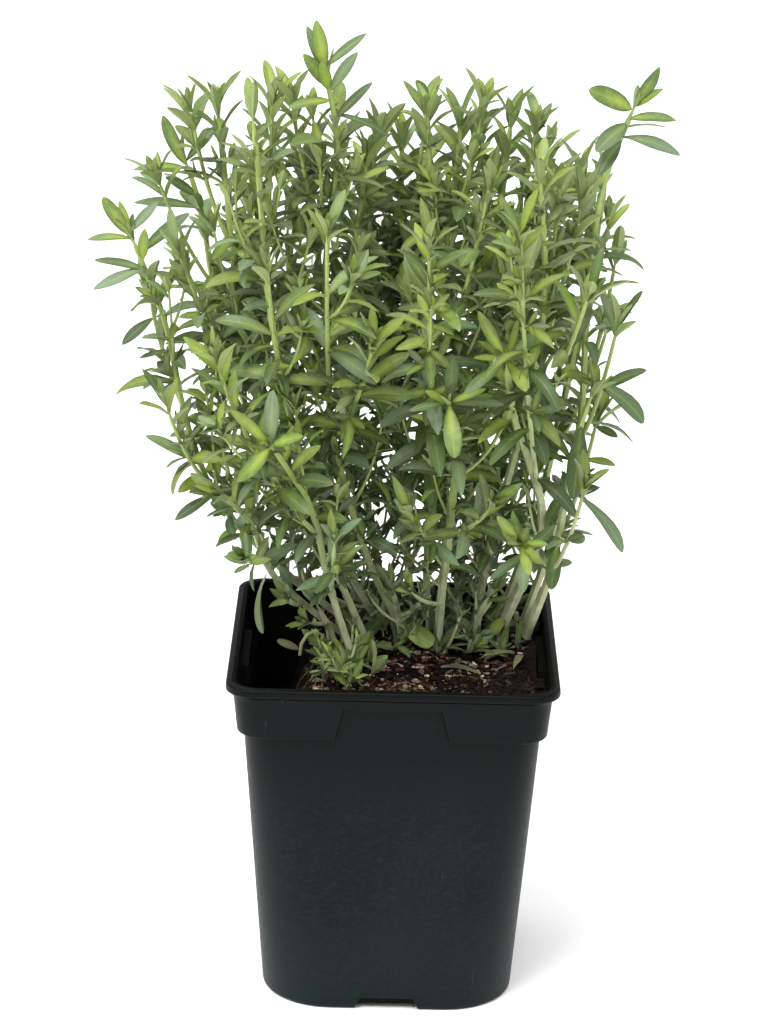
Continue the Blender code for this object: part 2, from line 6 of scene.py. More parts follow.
import bmesh
import bpy
import numpy as np
from mathutils import Matrix, Vector, noise

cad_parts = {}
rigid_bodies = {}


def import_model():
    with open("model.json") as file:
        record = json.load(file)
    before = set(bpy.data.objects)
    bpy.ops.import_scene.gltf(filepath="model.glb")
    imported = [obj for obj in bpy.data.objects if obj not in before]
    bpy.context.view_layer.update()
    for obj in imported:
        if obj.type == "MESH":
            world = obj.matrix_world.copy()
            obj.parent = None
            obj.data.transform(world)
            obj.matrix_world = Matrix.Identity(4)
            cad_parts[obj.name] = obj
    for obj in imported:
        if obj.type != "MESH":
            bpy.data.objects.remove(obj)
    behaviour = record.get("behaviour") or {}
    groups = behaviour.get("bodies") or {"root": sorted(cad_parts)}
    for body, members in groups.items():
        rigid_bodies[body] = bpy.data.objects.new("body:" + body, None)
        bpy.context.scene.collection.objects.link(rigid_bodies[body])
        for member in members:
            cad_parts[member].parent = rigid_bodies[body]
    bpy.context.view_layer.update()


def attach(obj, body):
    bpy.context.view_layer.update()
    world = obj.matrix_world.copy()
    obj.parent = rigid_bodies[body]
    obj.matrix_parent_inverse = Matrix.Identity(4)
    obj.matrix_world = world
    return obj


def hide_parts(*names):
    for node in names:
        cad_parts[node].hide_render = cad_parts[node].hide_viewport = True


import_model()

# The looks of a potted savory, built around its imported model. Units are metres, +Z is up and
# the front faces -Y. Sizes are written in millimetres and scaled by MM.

MM = 0.001
GAP = 0.3 * MM

# Pot, as in the model
WALL = 1.2 * MM
POT_HEIGHT = 120.0 * MM
BODY_HALF_BASE = 42.6 * MM
BODY_HALF_TOP = 50.2 * MM
BODY_CORNER_BASE = 23.5 * MM
BODY_CORNER_TOP = 8.8 * MM
FOOT_ROUND = 1.5 * MM
COLLAR_BOTTOM = 101.5 * MM
COLLAR_HALF_BOTTOM = 51.2 * MM
COLLAR_HALF_TOP = 52.7 * MM
COLLAR_CORNER = 9.0 * MM
LIP_BOTTOM = 117.0 * MM
LIP_HALF = 55.0 * MM
LIP_CORNER = 9.5 * MM
LIP_ROUND = 0.9 * MM
FLOOR = 1.4 * MM
RECESS_TOP = 113.0 * MM
RECESS_HALF_TOP = 16.0 * MM
RECESS_HALF_BOTTOM = 19.0 * MM
CHANNEL_HEIGHT = 4.3 * MM
CHANNEL_HALF_BOTTOM = 11.7 * MM
CHANNEL_HALF_TOP = 9.3 * MM
CHANNEL_LENGTH = 19.0 * MM
CHANNEL_ROUND = 0.8 * MM
SLOT_LENGTH = 12.0 * MM
SLOT_WIDTH = 5.0 * MM
SLOT_FROM_SIDE = 11.0 * MM
CORNER_STEPS = 18
EDGE_SOFT = 0.22 * MM
INSIDE_OF_LIP = 4

# Soil, as in the model
SOIL_HIGH = 111.0 * MM
SOIL_LOW = 82.0 * MM
SOIL_EDGE_X = -27.0 * MM
SOIL_EDGE_WIDTH = 11.0 * MM
HOLE_DEPTH = 8.0 * MM

# Stems and leaves, as in the model
STEM_RUNS = 7
SHOOT_RUNS = 3
STEM_RADIUS_FOOT = 1.15 * MM
STEM_RADIUS_TIP = 0.5 * MM
SHOOT_RADIUS_ROOT = 0.75 * MM
SHOOT_RADIUS_TIP = 0.42 * MM
PAIR_SPACING = 29.0 * MM
BARE_ABOVE_SOIL = 34.0 * MM
BARE_SHOOT = 5.0 * MM
LEAF_LENGTH = (13.5 * MM, 19.0 * MM)
LEAF_SHAPE = (0.25, 0.31)
LEAF_TRIES = 8
CLEARANCE = 0.45 * MM
STEM_BALLS = 60
AGE_LENGTH = 120.0 * MM
TIP_PAIRS = (1.2 * MM, 4.5 * MM)

Stem = namedtuple("Stem", "foot route shoots turn", defaults=(None,))
Leaf = namedtuple("Leaf", "root along outward length width lean droop roll")
Placed = namedtuple("Placed", "leaf share age")
Axis = namedtuple("Axis", "path turn start placed")
Blade = namedtuple("Blade", "leaf taper point fold ripple phase twist youth tint dry", defaults=(0.0,))
SetLeaf = namedtuple("SetLeaf", "root tip width bend toward taper point youth tint fold", defaults=(16,))

# Each stem: its foot on the soil (x, y), the points it passes through up to its tip
# (x, y, z), and its side shoots, each with the share of the stem's length where it
# leaves and its tip (share, x, y, z). All in millimetres. Turn, where given, is how far
# its topmost leaves are turned from the X direction, in degrees.
STEMS = {
    "stem_left_low": Stem(
        (-17, 14),
        [(-30, 10, 126), (-43, 0, 143), (-49, -13, 164), (-62, -27, 181)],
        [(0.55, -50, -36, 160), (0.3, -36, -26, 143)],
    ),
    "stem_left_outer": Stem(
        (-19, 27),
        [(-38, 22, 134), (-60, 12, 162), (-71, 10, 190), (-79, 12, 226), (-93, 12, 262)],
        [(0.45, -78, -8, 206), (0.62, -86, 30, 234)],
        turn=75,
    ),
    "stem_left_back": Stem(
        (-10, 37),
        [(-26, 44, 142), (-48, 44, 176), (-61, 44, 212), (-69, 46, 256), (-77, 46, 280)],
        [(0.42, -76, 66, 232), (0.55, -52, 72, 262)],
        turn=75,
    ),
    "stem_left_inner": Stem(
        (-6, 24),
        [(-22, 22, 146), (-42, 20, 184), (-54, 22, 228), (-60, 24, 276), (-63, 24, 303)],
        [(0.5, -75, 2, 256), (0.62, -44, 42, 286)],
    ),
    "stem_left_middle": Stem(
        (-9, 6),
        [(-22, 0, 148), (-34, -6, 190), (-43, -12, 238), (-47, -9, 280), (-50, -6, 306)],
        [(0.5, -43, -40, 260), (0.6, -34, 12, 284)],
    ),
    "stem_front_left": Stem(
        (-14, -8),
        [(-22, -8, 140), (-28, -14, 168), (-36, -30, 188), (-43, -47, 204)],
        [(0.48, -60, -40, 230), (0.3, -20, -42, 170)],
    ),
    "stem_tall": Stem(
        (2, 17),
        [(-10, 8, 146), (-22, 0, 192), (-25, -2, 250), (-22, -4, 290), (-28, -4, 322)],
        [(0.48, -24, -48, 275), (0.58, -8, 20, 292), (0.4, -8, -36, 236)],
        turn=60,
    ),
    "stem_centre_back": Stem(
        (6, 38),
        [(3, 36, 150), (-2, 34, 206), (-1, 36, 260), (-1, 37, 290)],
        [(0.48, -22, 66, 278), (0.4, 14, 70, 256)],
    ),
    "stem_centre": Stem(
        (11, 25),
        [(11, 16, 150), (12, 7, 196), (13, 4, 240), (17, 4, 280), (18, 4, 305)],
        [(0.36, 8, -52, 275), (0.55, 28, -24, 288)],
    ),
    "stem_centre_front": Stem(
        (15, 5),
        [(16, 2, 136), (18, -4, 162), (19, -20, 194), (16, -33, 213)],
        [(0.4, 3, -28, 176), (0.45, 32, -28, 178), (0.22, 4, -24, 146)],
    ),
    "stem_right_back": Stem(
        (22, 38),
        [(25, 37, 160), (30, 32, 228), (34, 34, 276), (36, 34, 299)],
        [(0.5, 50, 62, 280), (0.4, 30, 74, 248)],
    ),
    "stem_right_front": Stem(
        (36, 12),
        [(46, 10, 144), (49, 6, 164), (43, -6, 186), (37, -20, 206), (34, -35, 228)],
        [(0.5, 36, -56, 279), (0.32, 40, -38, 168)],
    ),
    "stem_right_middle": Stem(
        (28, 26),
        [(34, 14, 156), (42, -8, 204), (46, -22, 246), (42, -28, 295)],
        [(0.5, 60, -42, 256), (0.62, 58, -10, 280)],
    ),
    "stem_right_slender": Stem(
        (38, 38),
        [(49, 40, 152), (58, 39, 200), (63, 39, 244), (59, 38, 280)],
        [(0.55, 71, 56, 256), (0.4, 72, 40, 224)],
    ),
    "stem_right_top": Stem(
        (44, 25),
        [(54, 20, 150), (61, 14, 190), (62, 12, 232), (65, 8, 274), (75, 3, 306)],
        [(0.5, 72, 22, 252), (0.4, 72, 0, 234)],
        turn=90,
    ),
    "stem_right_low": Stem(
        (45, 12),
        [(53, 4, 144), (57, 2, 172), (60, 0, 194), (66, -3, 214)],
        [(0.35, 62, -22, 184), (0.45, 68, 18, 198)],
    ),
    "stem_back_left": Stem(
        (-3, 46),
        [(-14, 58, 164), (-27, 70, 222), (-35, 78, 266)],
        [(0.5, -56, 76, 230), (0.42, -8, 86, 232)],
    ),
    "stem_back_right": Stem(
        (30, 46),
        [(37, 60, 164), (45, 72, 216), (51, 80, 260)],
        [(0.5, 66, 70, 230), (0.42, 24, 86, 224)],
    ),
    "stem_short_left": Stem((-20, 3), [(-23, 0, 124), (-30, -3, 138)], [(0.55, -31, -14, 130)]),
    "stem_short_centre": Stem((2, 6), [(1, 2, 128), (-2, -6, 144)], [(0.5, 9, -6, 134)]),
    "stem_short_right": Stem((28, 9), [(29, 4, 126), (34, -4, 141)], []),
}

# The scene's stems: radii at foot and tip, what is cut off the tips of stems and side shoots,
# the stems whose tips stay whole, and how finely all are made
VISIBLE_STEM = (1.4 * MM, 0.85 * MM)
VISIBLE_SHOOT = (0.9 * MM, 0.6 * MM)
TIP_CUT = (7 * MM, 4 * MM)
FULL_TIPS = {"stem_right_top", "stem_right_front", "stem_centre_front"}
SMOOTH_RUNS = (64, 24)
STEM_SIDES = 8
SHOOT_SIDES = 6
RING_SPACING = 1.9 * MM

# The scene's leaves: how much wider, longer and more drooping than the model's, how much more
# upright at the tips, and how close their pairs stand
WIDER = (1.05, 1.3)
LONGER = 1.25
SAG = math.radians(20)
TIP_RISE = math.radians(9)
NODE_SPACING = PAIR_SPACING / 3
FILL_TRIES = 5

# Twigs and tufts in the leaf axils: how often they grow and how large they get. Behind HIND,
# twigs are more frequent by the first factor low down and by the second higher up.
TWIG_SHARE = 0.46
TWIG_SHARE_SHOOT = 0.26
TWIG_LENGTH = (14 * MM, 42 * MM)
TWIG_LEAF = (11.5 * MM, 15.5 * MM)
TWIG_TRIES = 2
TUFT_SHARE = 0.6
BUD_SIZE = 14 * MM
HIND = 18 * MM
HIND_TWIGS = (1.9, 0.85)
HIND_FROM = 170 * MM
HIND_RISE = 60 * MM

# From LOW_GROWTH up, gaps and wood fade over LOW_RISE, leaves grow larger over SIZE_RISE, and they
# get brighter up to HIGH_GROWTH: lower down they are older and darker, partly for their age and partly
# as painted shade under the crown. At the front they are bright below BRIGHT_FRONT too. Below
# LOW_LEAVES they keep to the outline, and below DRY_BELOW a share of them is partly dry.
LOW_GROWTH = 120 * MM
LOW_RISE = 50 * MM
SIZE_RISE = 70 * MM
LEAST_SIZE = 0.56
HIGH_GROWTH = 215 * MM
BRIGHT_FRONT = 128 * MM
LOW_LEAVES = 158 * MM
DRY_BELOW = 142 * MM
DRY_SHARE = 0.2

# Growth from the soil, with the share that stands at the front left. Low on the stems, behind
# HIND and in front of it: how often a twig grows, and the longest in millimetres.
SPROUTS = 18
SPROUT_LEAN = (10, 60)
LOW_TUFTS = 90
FRONT_LEFT_SHARE = 0.24
BASAL_BEHIND = (0.6, 34)
BASAL_FRONT = (0.2, 20)
BASAL_LEAN = (45, 78)

# What the mesh of a plant holds for each point
VALUES = ("along", "across", "youth", "tint", "dry", "wood")


def star(root, *leaves):
    """Listed leaves that leave the stem at the same point."""
    return [SetLeaf(root, *leaf) for leaf in leaves]


# Leaves that stand out in the plant, each from its root to its tip (x, y, z) with its width in
# millimetres, how far it bends in degrees and towards where, its outline, youth and tint
SET_LEAVES = {
    "stem_right_top": [
        SetLeaf((73.3, 3.5, 302.3), (58.6, -3, 309.5), 7.4, 22, (0.2, 0.8, -0.6), 0.72, 0.6, 0.45, 0.6),
        SetLeaf((73.9, 3.5, 303.0), (83.1, 1, 309.8), 3.4, 20, (0.5, 0.6, -0.4), 0.9, 0.9, 0.6, 0.6),
        SetLeaf((74.2, 3.4, 304.0), (81.2, -2, 317.5), 5.0, 16, (-0.4, 1, 0.1), 0.8, 0.8, 0.4, 0.55),
        SetLeaf((72.4, 3.8, 299.0), (87.6, 0, 299.5), 5.6, 30, (0, 0.5, -1), 0.9, 0.85, 0.3, 0.55),
        SetLeaf((71.9, 4.0, 296.5), (85.1, 9, 295.5), 3.8, 26, (0, -0.2, -1), 0.9, 0.9, 0.4, 0.6),
        SetLeaf((70.8, 4.4, 293.0), (89.5, 0, 288.0), 6.0, 34, (0.1, 0.5, -1), 0.95, 0.75, 0.2, 0.45),
        SetLeaf((72.0, 4.0, 297.5), (61.6, -5, 289.8), 6.4, 26, (0, 0.8, -0.8), 0.85, 0.7, 0.25, 0.3),
        SetLeaf((70.4, 4.6, 291.5), (63.0, -2, 281.5), 5.6, 30, (0.3, 0.8, -0.6), 0.9, 0.7, 0.2, 0.2),
    ],
    "stem_right_low": [
        SetLeaf((60.5, 2, 212.0), (81.5, -2, 197.6), 6.6, 74, (-0.3, 0.9, -0.9), 1.35, 0.62, 0.1, 0.3),
        SetLeaf((57.5, 1.6, 173.0), (76.5, -2, 152.0), 5.2, 62, (-0.5, 0.9, -0.8), 1.4, 0.6, 0.1, 0.35),
        SetLeaf((54.7, 2.9, 154.0), (52.8, -1, 137.7), 5.4, 20, (0.2, 1, 0), 0.9, 0.6, 0.2, 0.7),
        SetLeaf((55.1, 2.7, 156.6), (63.5, -3, 156.3), 4.7, 30, (0, 0.9, -0.6), 0.8, 0.45, 0.1, 0.3),
        SetLeaf((66.6, 16.4, 190.6), (74.1, 12, 188.2), 3.4, 30, (0, 0.8, -0.8), 0.9, 0.8, 0.2, 0.4),
        SetLeaf((60.8, -1, 196.0), (58.5, -9, 172.5), 7.2, 24, (0, 1, 0), 0.9, 0.7, 0.0, 0.2),
    ],
    "stem_short_centre": [
        SetLeaf((0.8, 4.0, 122.6), (13.5, -1, 117.0), 6.8, 30, (0.1, 1, -0.8), 1.0, 0.42, 0.7, 0.85),
    ],
    "stem_right_front": [
        SetLeaf((38.4, 11, 123.0), (33.2, 8, 117.6), 4.6, 50, (0, 0.6, -1), 0.8, 0.6, 1.0, 1.0),
        *star(
            (34, -34.8, 227.6),
            ((24.4, -32.8, 243.4), 4.0, 16, (0.2, 1, -0.3), 0.9, 0.65, 0.55, 0.6),
            ((37.2, -33.8, 241.3), 3.0, 16, (-0.3, 1, 0), 0.9, 0.75, 0.7, 0.65),
            ((46.7, -38.8, 241.2), 4.0, 24, (0.2, 0.9, -0.5), 0.9, 0.65, 0.35, 0.5),
            ((23, -42.8, 230.6), 2.7, 28, (-0.1, 0.8, -0.8), 0.9, 0.75, 0.85, 0.85),
            ((42.1, -42.8, 232), 2.7, 28, (0.1, 0.8, -0.8), 0.9, 0.75, 0.7, 0.7),
            ((40.1, -46.8, 220.9), 4.7, 34, (-0.3, 1, -0.4), 0.95, 0.62, 0.85, 0.7),
            ((20.5, -42.8, 218.6), 4.0, 24, (0, 0.9, -0.6), 0.95, 0.62, 0.3, 0.5),
        ),
        *star(
            (40.5, -34.7, 165.8),
            ((32.4, -38.7, 176.4), 3.7, 18, (0.1, 0.9, -0.4), 0.9, 0.65, 0.75, 0.7),
            ((43.3, -42.7, 157.7), 4.0, 24, (-0.2, 1, -0.3), 0.95, 0.6, 0.95, 0.85),
            ((49.2, -40.7, 167.5), 3.0, 28, (0, 0.8, -0.8), 0.9, 0.7, 0.6, 0.6),
        ),
    ],
    "stem_centre_front": [
        *star(
            (16, -32.8, 212.6),
            ((16.9, -30.8, 227.3), 4.7, 14, (0, 1, -0.2), 0.95, 0.62, 0.2, 0.5),
            ((8.1, -37.8, 217.8), 3.0, 22, (0.2, 0.9, -0.6), 0.9, 0.7, 0.85, 0.85),
            ((27.6, -37.8, 218.9), 2.7, 22, (-0.2, 0.9, -0.6), 0.9, 0.7, 0.8, 0.8),
            ((3.1, -38.8, 211.3), 3.0, 30, (0, 0.8, -0.8), 0.9, 0.7, 0.2, 0.5),
            ((33.6, -36.8, 213.4), 3.4, 26, (0, 0.8, -0.8), 0.9, 0.7, 0.1, 0.3),
            ((18.1, -44.8, 197.7), 6.1, 26, (0, 1, -0.3), 1.0, 0.55, 0.5, 0.6),
        ),
    ],
    "stem_left_low": [
        SetLeaf((-43.6, -1, 141.5), (-44.4, -2, 120.0), 3.7, 66, (0.7, -0.8, 0), 1.6, 0.5, 0.3, 0.6, 24),
    ],
    "stem_left_outer": [
        SetLeaf((-89.8, 12, 254.2), (-99, 10, 267.8), 5.2, 16, (0.3, 1, -0.3), 0.8, 0.6, 0.5, 0.6),
        SetLeaf((-89.6, 12, 253.5), (-104.2, 8, 253.6), 3.8, 30, (0.1, 0.6, -1), 0.9, 0.8, 0.5, 0.62),
        SetLeaf((-90.4, 12, 255.5), (-94.1, 15, 265.4), 3.0, 12, (-0.2, 1, 0), 0.8, 0.8, 0.8, 0.75),
        SetLeaf((-90.4, 12, 255.5), (-81.2, 14, 265.6), 3.7, 20, (0.4, 0.9, -0.2), 0.9, 0.7, 0.3, 0.4),
        SetLeaf((-85.2, 12.1, 242.8), (-102.3, 12, 245.8), 4.2, 28, (-0.1, 0.6, -1), 0.9, 0.8, 0.15, 0.3),
        SetLeaf((-85.4, 12.1, 243.5), (-102.2, 6, 237.2), 4.2, 24, (0, 0.8, -0.7), 0.9, 0.8, 0.2, 0.4),
        SetLeaf((-87.2, 12.1, 248.2), (-70.6, 14, 262.1), 4.7, 26, (0.2, 0.9, -0.6), 0.9, 0.7, 0.15, 0.25),
        SetLeaf((-86.2, 12.1, 246.0), (-85, 8, 258.0), 3.9, 16, (0.1, 1, -0.1), 0.9, 0.8, 0.8, 0.8),
        SetLeaf((-83.3, 25.9, 222.8), (-93.9, 22, 214), 4.2, 30, (0.2, 0.8, -0.6), 0.9, 0.7, 0.0, 0.08),
        SetLeaf((-76.4, 11.4, 215.4), (-87.2, 8, 213.4), 2.7, 24, (0, 0.5, -1), 0.9, 0.8, 0.1, 0.3),
        SetLeaf((-74.7, 10.8, 206.9), (-81.5, 13, 211), 3.7, 20, (0, 0.9, -0.5), 0.9, 0.7, 0.2, 0.5),
        SetLeaf((-74.3, 10.7, 204.8), (-80.1, 7, 199.9), 3.7, 26, (0.2, 0.9, -0.5), 0.9, 0.7, 0.1, 0.2),
        SetLeaf((-65.4, 10.4, 172.9), (-73.8, 4, 167.9), 4.0, 20, (0, 0.9, -0.5), 0.9, 0.7, 1.0, 1.0),
        SetLeaf((-65.4, 10.4, 172.9), (-56.4, 5, 182.2), 4.0, 20, (0.1, 0.9, -0.4), 0.9, 0.7, 0.9, 0.95),
        SetLeaf((-61.7, 11.4, 165.1), (-75.1, 8, 156.6), 4.2, 30, (0.2, 0.8, -0.7), 0.9, 0.7, 0.0, 0.05),
        SetLeaf((-63.3, 10.9, 168.3), (-58, 6, 158.9), 4.0, 26, (-0.2, 0.9, -0.2), 0.9, 0.7, 0.2, 0.5),
        SetLeaf((-53.7, 14.8, 152.8), (-60.5, 10, 148.6), 3.2, 26, (-0.1, 0.9, -0.4), 0.9, 0.7, 0.8, 0.85),
    ],
    "stem_left_back": [
        SetLeaf((-73.5, 46.1, 270.5), (-81.4, 42, 288.8), 5.7, 20, (0.5, 1, -0.2), 0.85, 0.7, 0.45, 0.6),
        SetLeaf((-73.2, 46.1, 269.8), (-91.4, 40, 270.2), 4.0, 30, (0, 0.7, -1), 0.9, 0.8, 0.4, 0.6),
        SetLeaf((-74, 46.1, 272), (-63.2, 48, 284.5), 4.0, 26, (0.3, 0.9, -0.4), 0.9, 0.7, 0.1, 0.15),
        SetLeaf((-70.1, 46.1, 260.3), (-80.8, 42, 267.6), 3.9, 24, (0, 0.8, -0.7), 0.9, 0.8, 0.1, 0.2),
        SetLeaf((-69, 46, 256.0), (-91.4, 40, 258.8), 4.6, 30, (0, 0.7, -1), 0.9, 0.8, 0.1, 0.3),
    ],
    "stem_front_left": [
        *star(
            (-41, -42, 199.5),
            ((-40.5, -44, 218.9), 5.2, 20, (0.1, 1, -0.3), 0.95, 0.62, 0.4, 0.4),
            ((-53.9, -48, 213.2), 4.2, 24, (-0.2, 0.9, -0.5), 0.9, 0.7, 0.7, 0.8),
            ((-30.5, -50, 205.6), 4.4, 24, (0.1, 0.9, -0.7), 0.9, 0.7, 0.55, 0.65),
            ((-51.4, -51, 190.1), 5.2, 24, (-0.2, 1, -0.2), 0.9, 0.7, 0.6, 0.65),
        ),
    ],
    "stem_tall": [
        SetLeaf((-26.3, -4, 314.3), (-29.3, -6, 330.9), 5.1, 14, (0, 1, -0.2), 0.8, 0.75, 0.75, 0.75),
        SetLeaf((-26.1, -4.1, 313.4), (-32.3, -2, 328.2), 4.0, 14, (-0.3, 1, 0), 0.8, 0.75, 0.35, 0.4),
        SetLeaf((-26.5, -4, 315.2), (-13, -4, 326.7), 3.4, 20, (0.4, 0.9, -0.3), 0.9, 0.8, 0.2, 0.3),
        SetLeaf((-24.6, -4.1, 307.3), (-15.7, -7, 321.1), 4.4, 20, (0.4, 0.9, -0.3), 0.85, 0.75, 0.25, 0.4),
        SetLeaf((-25, -4.1, 309), (-33.2, -9, 320.5), 4.7, 20, (-0.3, 1, -0.2), 0.85, 0.75, 0.5, 0.6),
        SetLeaf((-25, -4.1, 308), (-27.2, -12, 319.0), 4.4, 16, (0.1, 1, -0.2), 0.85, 0.75, 0.8, 0.8),
        SetLeaf((-24, -4.1, 304.6), (-37.7, -12, 303.5), 4.2, 30, (0, 0.8, -0.9), 0.9, 0.75, 0.5, 0.6),
        SetLeaf((-22.9, -4.1, 298.4), (-10.8, -4, 310.9), 3.4, 20, (0.4, 0.9, -0.3), 0.85, 0.75, 0.05, 0.1),
        SetLeaf((-23.2, -4.1, 300.2), (-4.9, -4, 292.8), 3.4, 40, (0.1, 0.5, -1), 0.9, 0.75, 0.05, 0.15),
    ],
}

# Stretches of main stems, measured from the foot, and lengths of their tips that carry only the
# listed leaves, in millimetres
BARE_SPANS = {
    "stem_left_low": (0, 46), "stem_centre_front": (0, 30), "stem_tall": (0, 30),
    "stem_front_left": (0, 24), "stem_left_outer": (0, 26), "stem_right_front": (62, 106),
    "stem_right_low": (10, 36),
}
BARE_TIPS = {
    "stem_right_top": 34, "stem_left_outer": 20, "stem_left_back": 12, "stem_tall": 20,
    "stem_front_left": 6, "stem_right_front": 12, "stem_centre_front": 12,
}

# How young and bright all leaves are at least on stems, and on sprouts before FRESH_BEFORE
FRESH_STEMS = {"stem_short_left": 0.8}
FRESH_SPROUT = 0.7
FRESH_BEFORE = 2 * MM

# Where the photograph is taken from
CAMERA_TARGET = Vector((-3.9, 0, 163.2)) * MM
CAMERA_DISTANCE = 1.15
CAMERA_ELEVATION = 18.6
CAMERA_ROLL = 1.24
CAMERA_LENS = 119.8
CAMERA_SENSOR = 36.0
CAMERA_RISE = math.radians(CAMERA_ELEVATION)
CAMERA_BACK = Vector((0, -math.cos(CAMERA_RISE), math.sin(CAMERA_RISE)))
CAMERA_PLACE = CAMERA_TARGET + CAMERA_BACK * CAMERA_DISTANCE

# Stretches of stems that the photograph shows between the leaves, from height to height in
# millimetres, and how far from them leaves stay
SEEN_STEMS = {
    "stem_right_front": (150, 207), "stem_centre_front": (120, 172), "stem_tall": (214, 262),
    "stem_left_middle": (226, 252), "stem_left_low": (112, 143), "stem_right_top": (165, 232),
    "stem_left_inner": (254, 274), "stem_front_left": (150, 194), "stem_right_low": (128, 168),
}
SEEN_WIDTH = 3.2 * MM

# Gaps of the crown that the photograph shows: across and up on the plane Y = 0, and radius,
# in millimetres
OPENINGS = [
    (-75.6, 267.4, 4.6), (-63.5, 272, 4), (-42.3, 270.4, 5), (-75.6, 254.6, 4),
    (-68.1, 255.4, 4.6), (-69.7, 251, 4), (-66.4, 245.7, 3.6), (-72.9, 235.4, 4.6),
    (-42.5, 251.6, 3), (49.7, 217.2, 4.6), (57.6, 208.1, 4), (51.4, 206.5, 3.8),
    (64.2, 209.2, 4.6), (65.1, 187.7, 5), (33.3, 189.8, 3.4), (3.5, 193.3, 4.0),
    (48.0, 180.3, 4.0), (42.3, 171.0, 3.0), (50.7, 168.3, 4.0), (1.3, 157.3, 3.4),
    (8.2, 165.2, 2.7),
]

# Height below which stems turn pale and woody, and within what height, with the stems that
# are pale higher up
PALE_BELOW = 178 * MM
PALE_RISE = 60 * MM
PALE_HIGHER = {
    "stem_right_front": 225 * MM, "stem_right_middle": 215 * MM, "stem_right_low": 200 * MM,
}

# How much thicker some stems are than the others
STOUT_STEMS = {"stem_right_front": 1.35, "stem_centre_front": 1.15, "stem_right_low": 1.15}

# Side shoots that only the scene has, by the same rule as those of the model
SCENE_SHOOTS = {
    "stem_tall": [(0.7, -37, -2, 305), (0.55, -12, 8, 284), (0.2, -15, 16, 166)],
    "stem_centre_back": [
        (0.66, 7, 30, 297), (0.15, 16, 46, 160), (0.2, -10, 42, 176),
        (0.48, -12, 28, 274), (0.56, 9, 46, 278), (0.36, -10, 48, 232),
    ],
    "stem_centre": [(0.68, 7, 0, 303), (0.72, 25, 2, 303), (0.2, 1, 24, 168)],
    "stem_left_middle": [(0.72, -43, -4, 306)],
    "stem_left_inner": [
        (0.74, -71, 20, 296), (0.62, -82, 18, 274), (0.14, -28, 30, 150), (0.3, -48, 32, 196),
    ],
    "stem_left_back": [(0.12, -24, 52, 152), (0.18, -42, 38, 168)],
    "stem_left_outer": [(0.14, -37, 36, 152), (0.3, -60, 2, 192), (0.2, -50, 4, 166)],
    "stem_back_right": [(0.16, 19, 58, 158), (0.2, 45, 52, 166)],
    "stem_right_back": [
        (0.12, 14, 44, 156), (0.16, 31, 52, 164), (0.68, 44, 28, 292), (0.64, 26, 42, 288),
    ],
    "stem_right_middle": [(0.7, 50, -16, 284)],
    "stem_right_slender": [(0.7, 68, 34, 274)],
    "stem_back_left": [(0.22, -24, 50, 168)],
}

# How far twigs reach at each height: z, left and right, in millimetres
CROWN_OUTLINE = [
    (120, -27, 42), (140, -34, 46), (152, -45, 48), (165, -54, 50), (190, -62, 50), (215, -67, 51),
    (235, -76, 52), (250, -92, 54), (285, -90, 60), (300, -74, 76), (330, -50, 70),
]

# How far leaves may pass this outline, how far twigs reach to the front and to the back as a
# share of its half width, and how far they reach to the back at least
LEAF_REACH = 9
CROWN_FRONT = 0.82
CROWN_BACK = 1.1
BACK_LEAST = 57


def lerp(a, b, share):
    return a + (b - a) * share


def srgb(red, green, blue):
    """A colour written in the 0 to 255 values of a screen, as the linear values of a shader."""
    shares = (value / 255 for value in (red, green, blue))
    return tuple(s / 12.92 if s <= 0.04045 else ((s + 0.055) / 1.055) ** 2.4 for s in shares) + (1.0,)


# Materials

class Nodes:
    """The node tree of one material, with short calls for the nodes that it uses."""

    def __init__(self, name, roughness, shine=0.5):
        self.material = bpy.data.materials.new(name)
        self.material.use_nodes = True
        self.tree = self.material.node_tree
        self.shader = self.tree.nodes["Principled BSDF"]
        self.output = self.tree.nodes["Material Output"]
        self.shader.inputs["Roughness"].default_value = roughness
        self.shader.inputs["Specular IOR Level"].default_value = shine
        self.place = self.add("TexCoord").outputs["Object"]

    def add(self, kind, inputs=None, **settings):
        node = self.tree.nodes.new("ShaderNode" + kind)
        for key, value in settings.items():
            setattr(node, key, value)
        for key, value in (inputs or {}).items():
            self.put(value, node.inputs[key])
        return node

    def put(self, value, socket):
        if isinstance(value, bpy.types.NodeSocket):
            self.tree.links.new(value, socket)
        else:
            socket.default_value = value

    def value(self, name):
        """A number that the mesh holds for each point or face."""
        return self.add("Attribute", attribute_name=name).outputs["Fac"]

    def math(self, operation, *numbers):
        return self.add("Math", dict(enumerate(numbers)), operation=operation).outputs[0]

    def stretched(self, x, y, z):
        return self.add("VectorMath", {0: self.place, 1: (x, y, z)}, operation="MULTIPLY").outputs[0]

    def noise(self, scale, detail=3.0, place=None, rough=0.55):
        inputs = {"Vector": place or self.place, "Scale": scale, "Detail": detail, "Roughness": rough}
        return self.add("TexNoise", inputs).outputs["Fac"]

    def span(self, value, low, high, to_low=0.0, to_high=1.0):
        """Value taken smoothly from the range low to high to another range, and held at its ends."""
        inputs = {"Value": value, "From Min": low, "From Max": high, "To Min": to_low, "To Max": to_high}
        return self.add("MapRange", inputs, interpolation_type="SMOOTHSTEP").outputs[0]

    def mix(self, share, first, second, blend="MIX"):
        inputs = {0: share, 6: first, 7: second}
        return self.add("Mix", inputs, data_type="RGBA", blend_type=blend).outputs[2]

    def layers(self, colour, *layers):
        """A colour with others laid over it, each a share and its colour on a screen."""
        for share, over in layers:
            colour = self.mix(share, colour, srgb(*over))
        return colour

    def colour(self, socket):
        self.put(socket, self.shader.inputs["Base Color"])

    def rough(self, socket):
        self.put(socket, self.shader.inputs["Roughness"])

    def bump(self, height, strength, distance):
        inputs = {"Height": height, "Strength": strength, "Distance": distance}
        self.put(self.add("Bump", inputs).outputs[0], self.shader.inputs["Normal"])


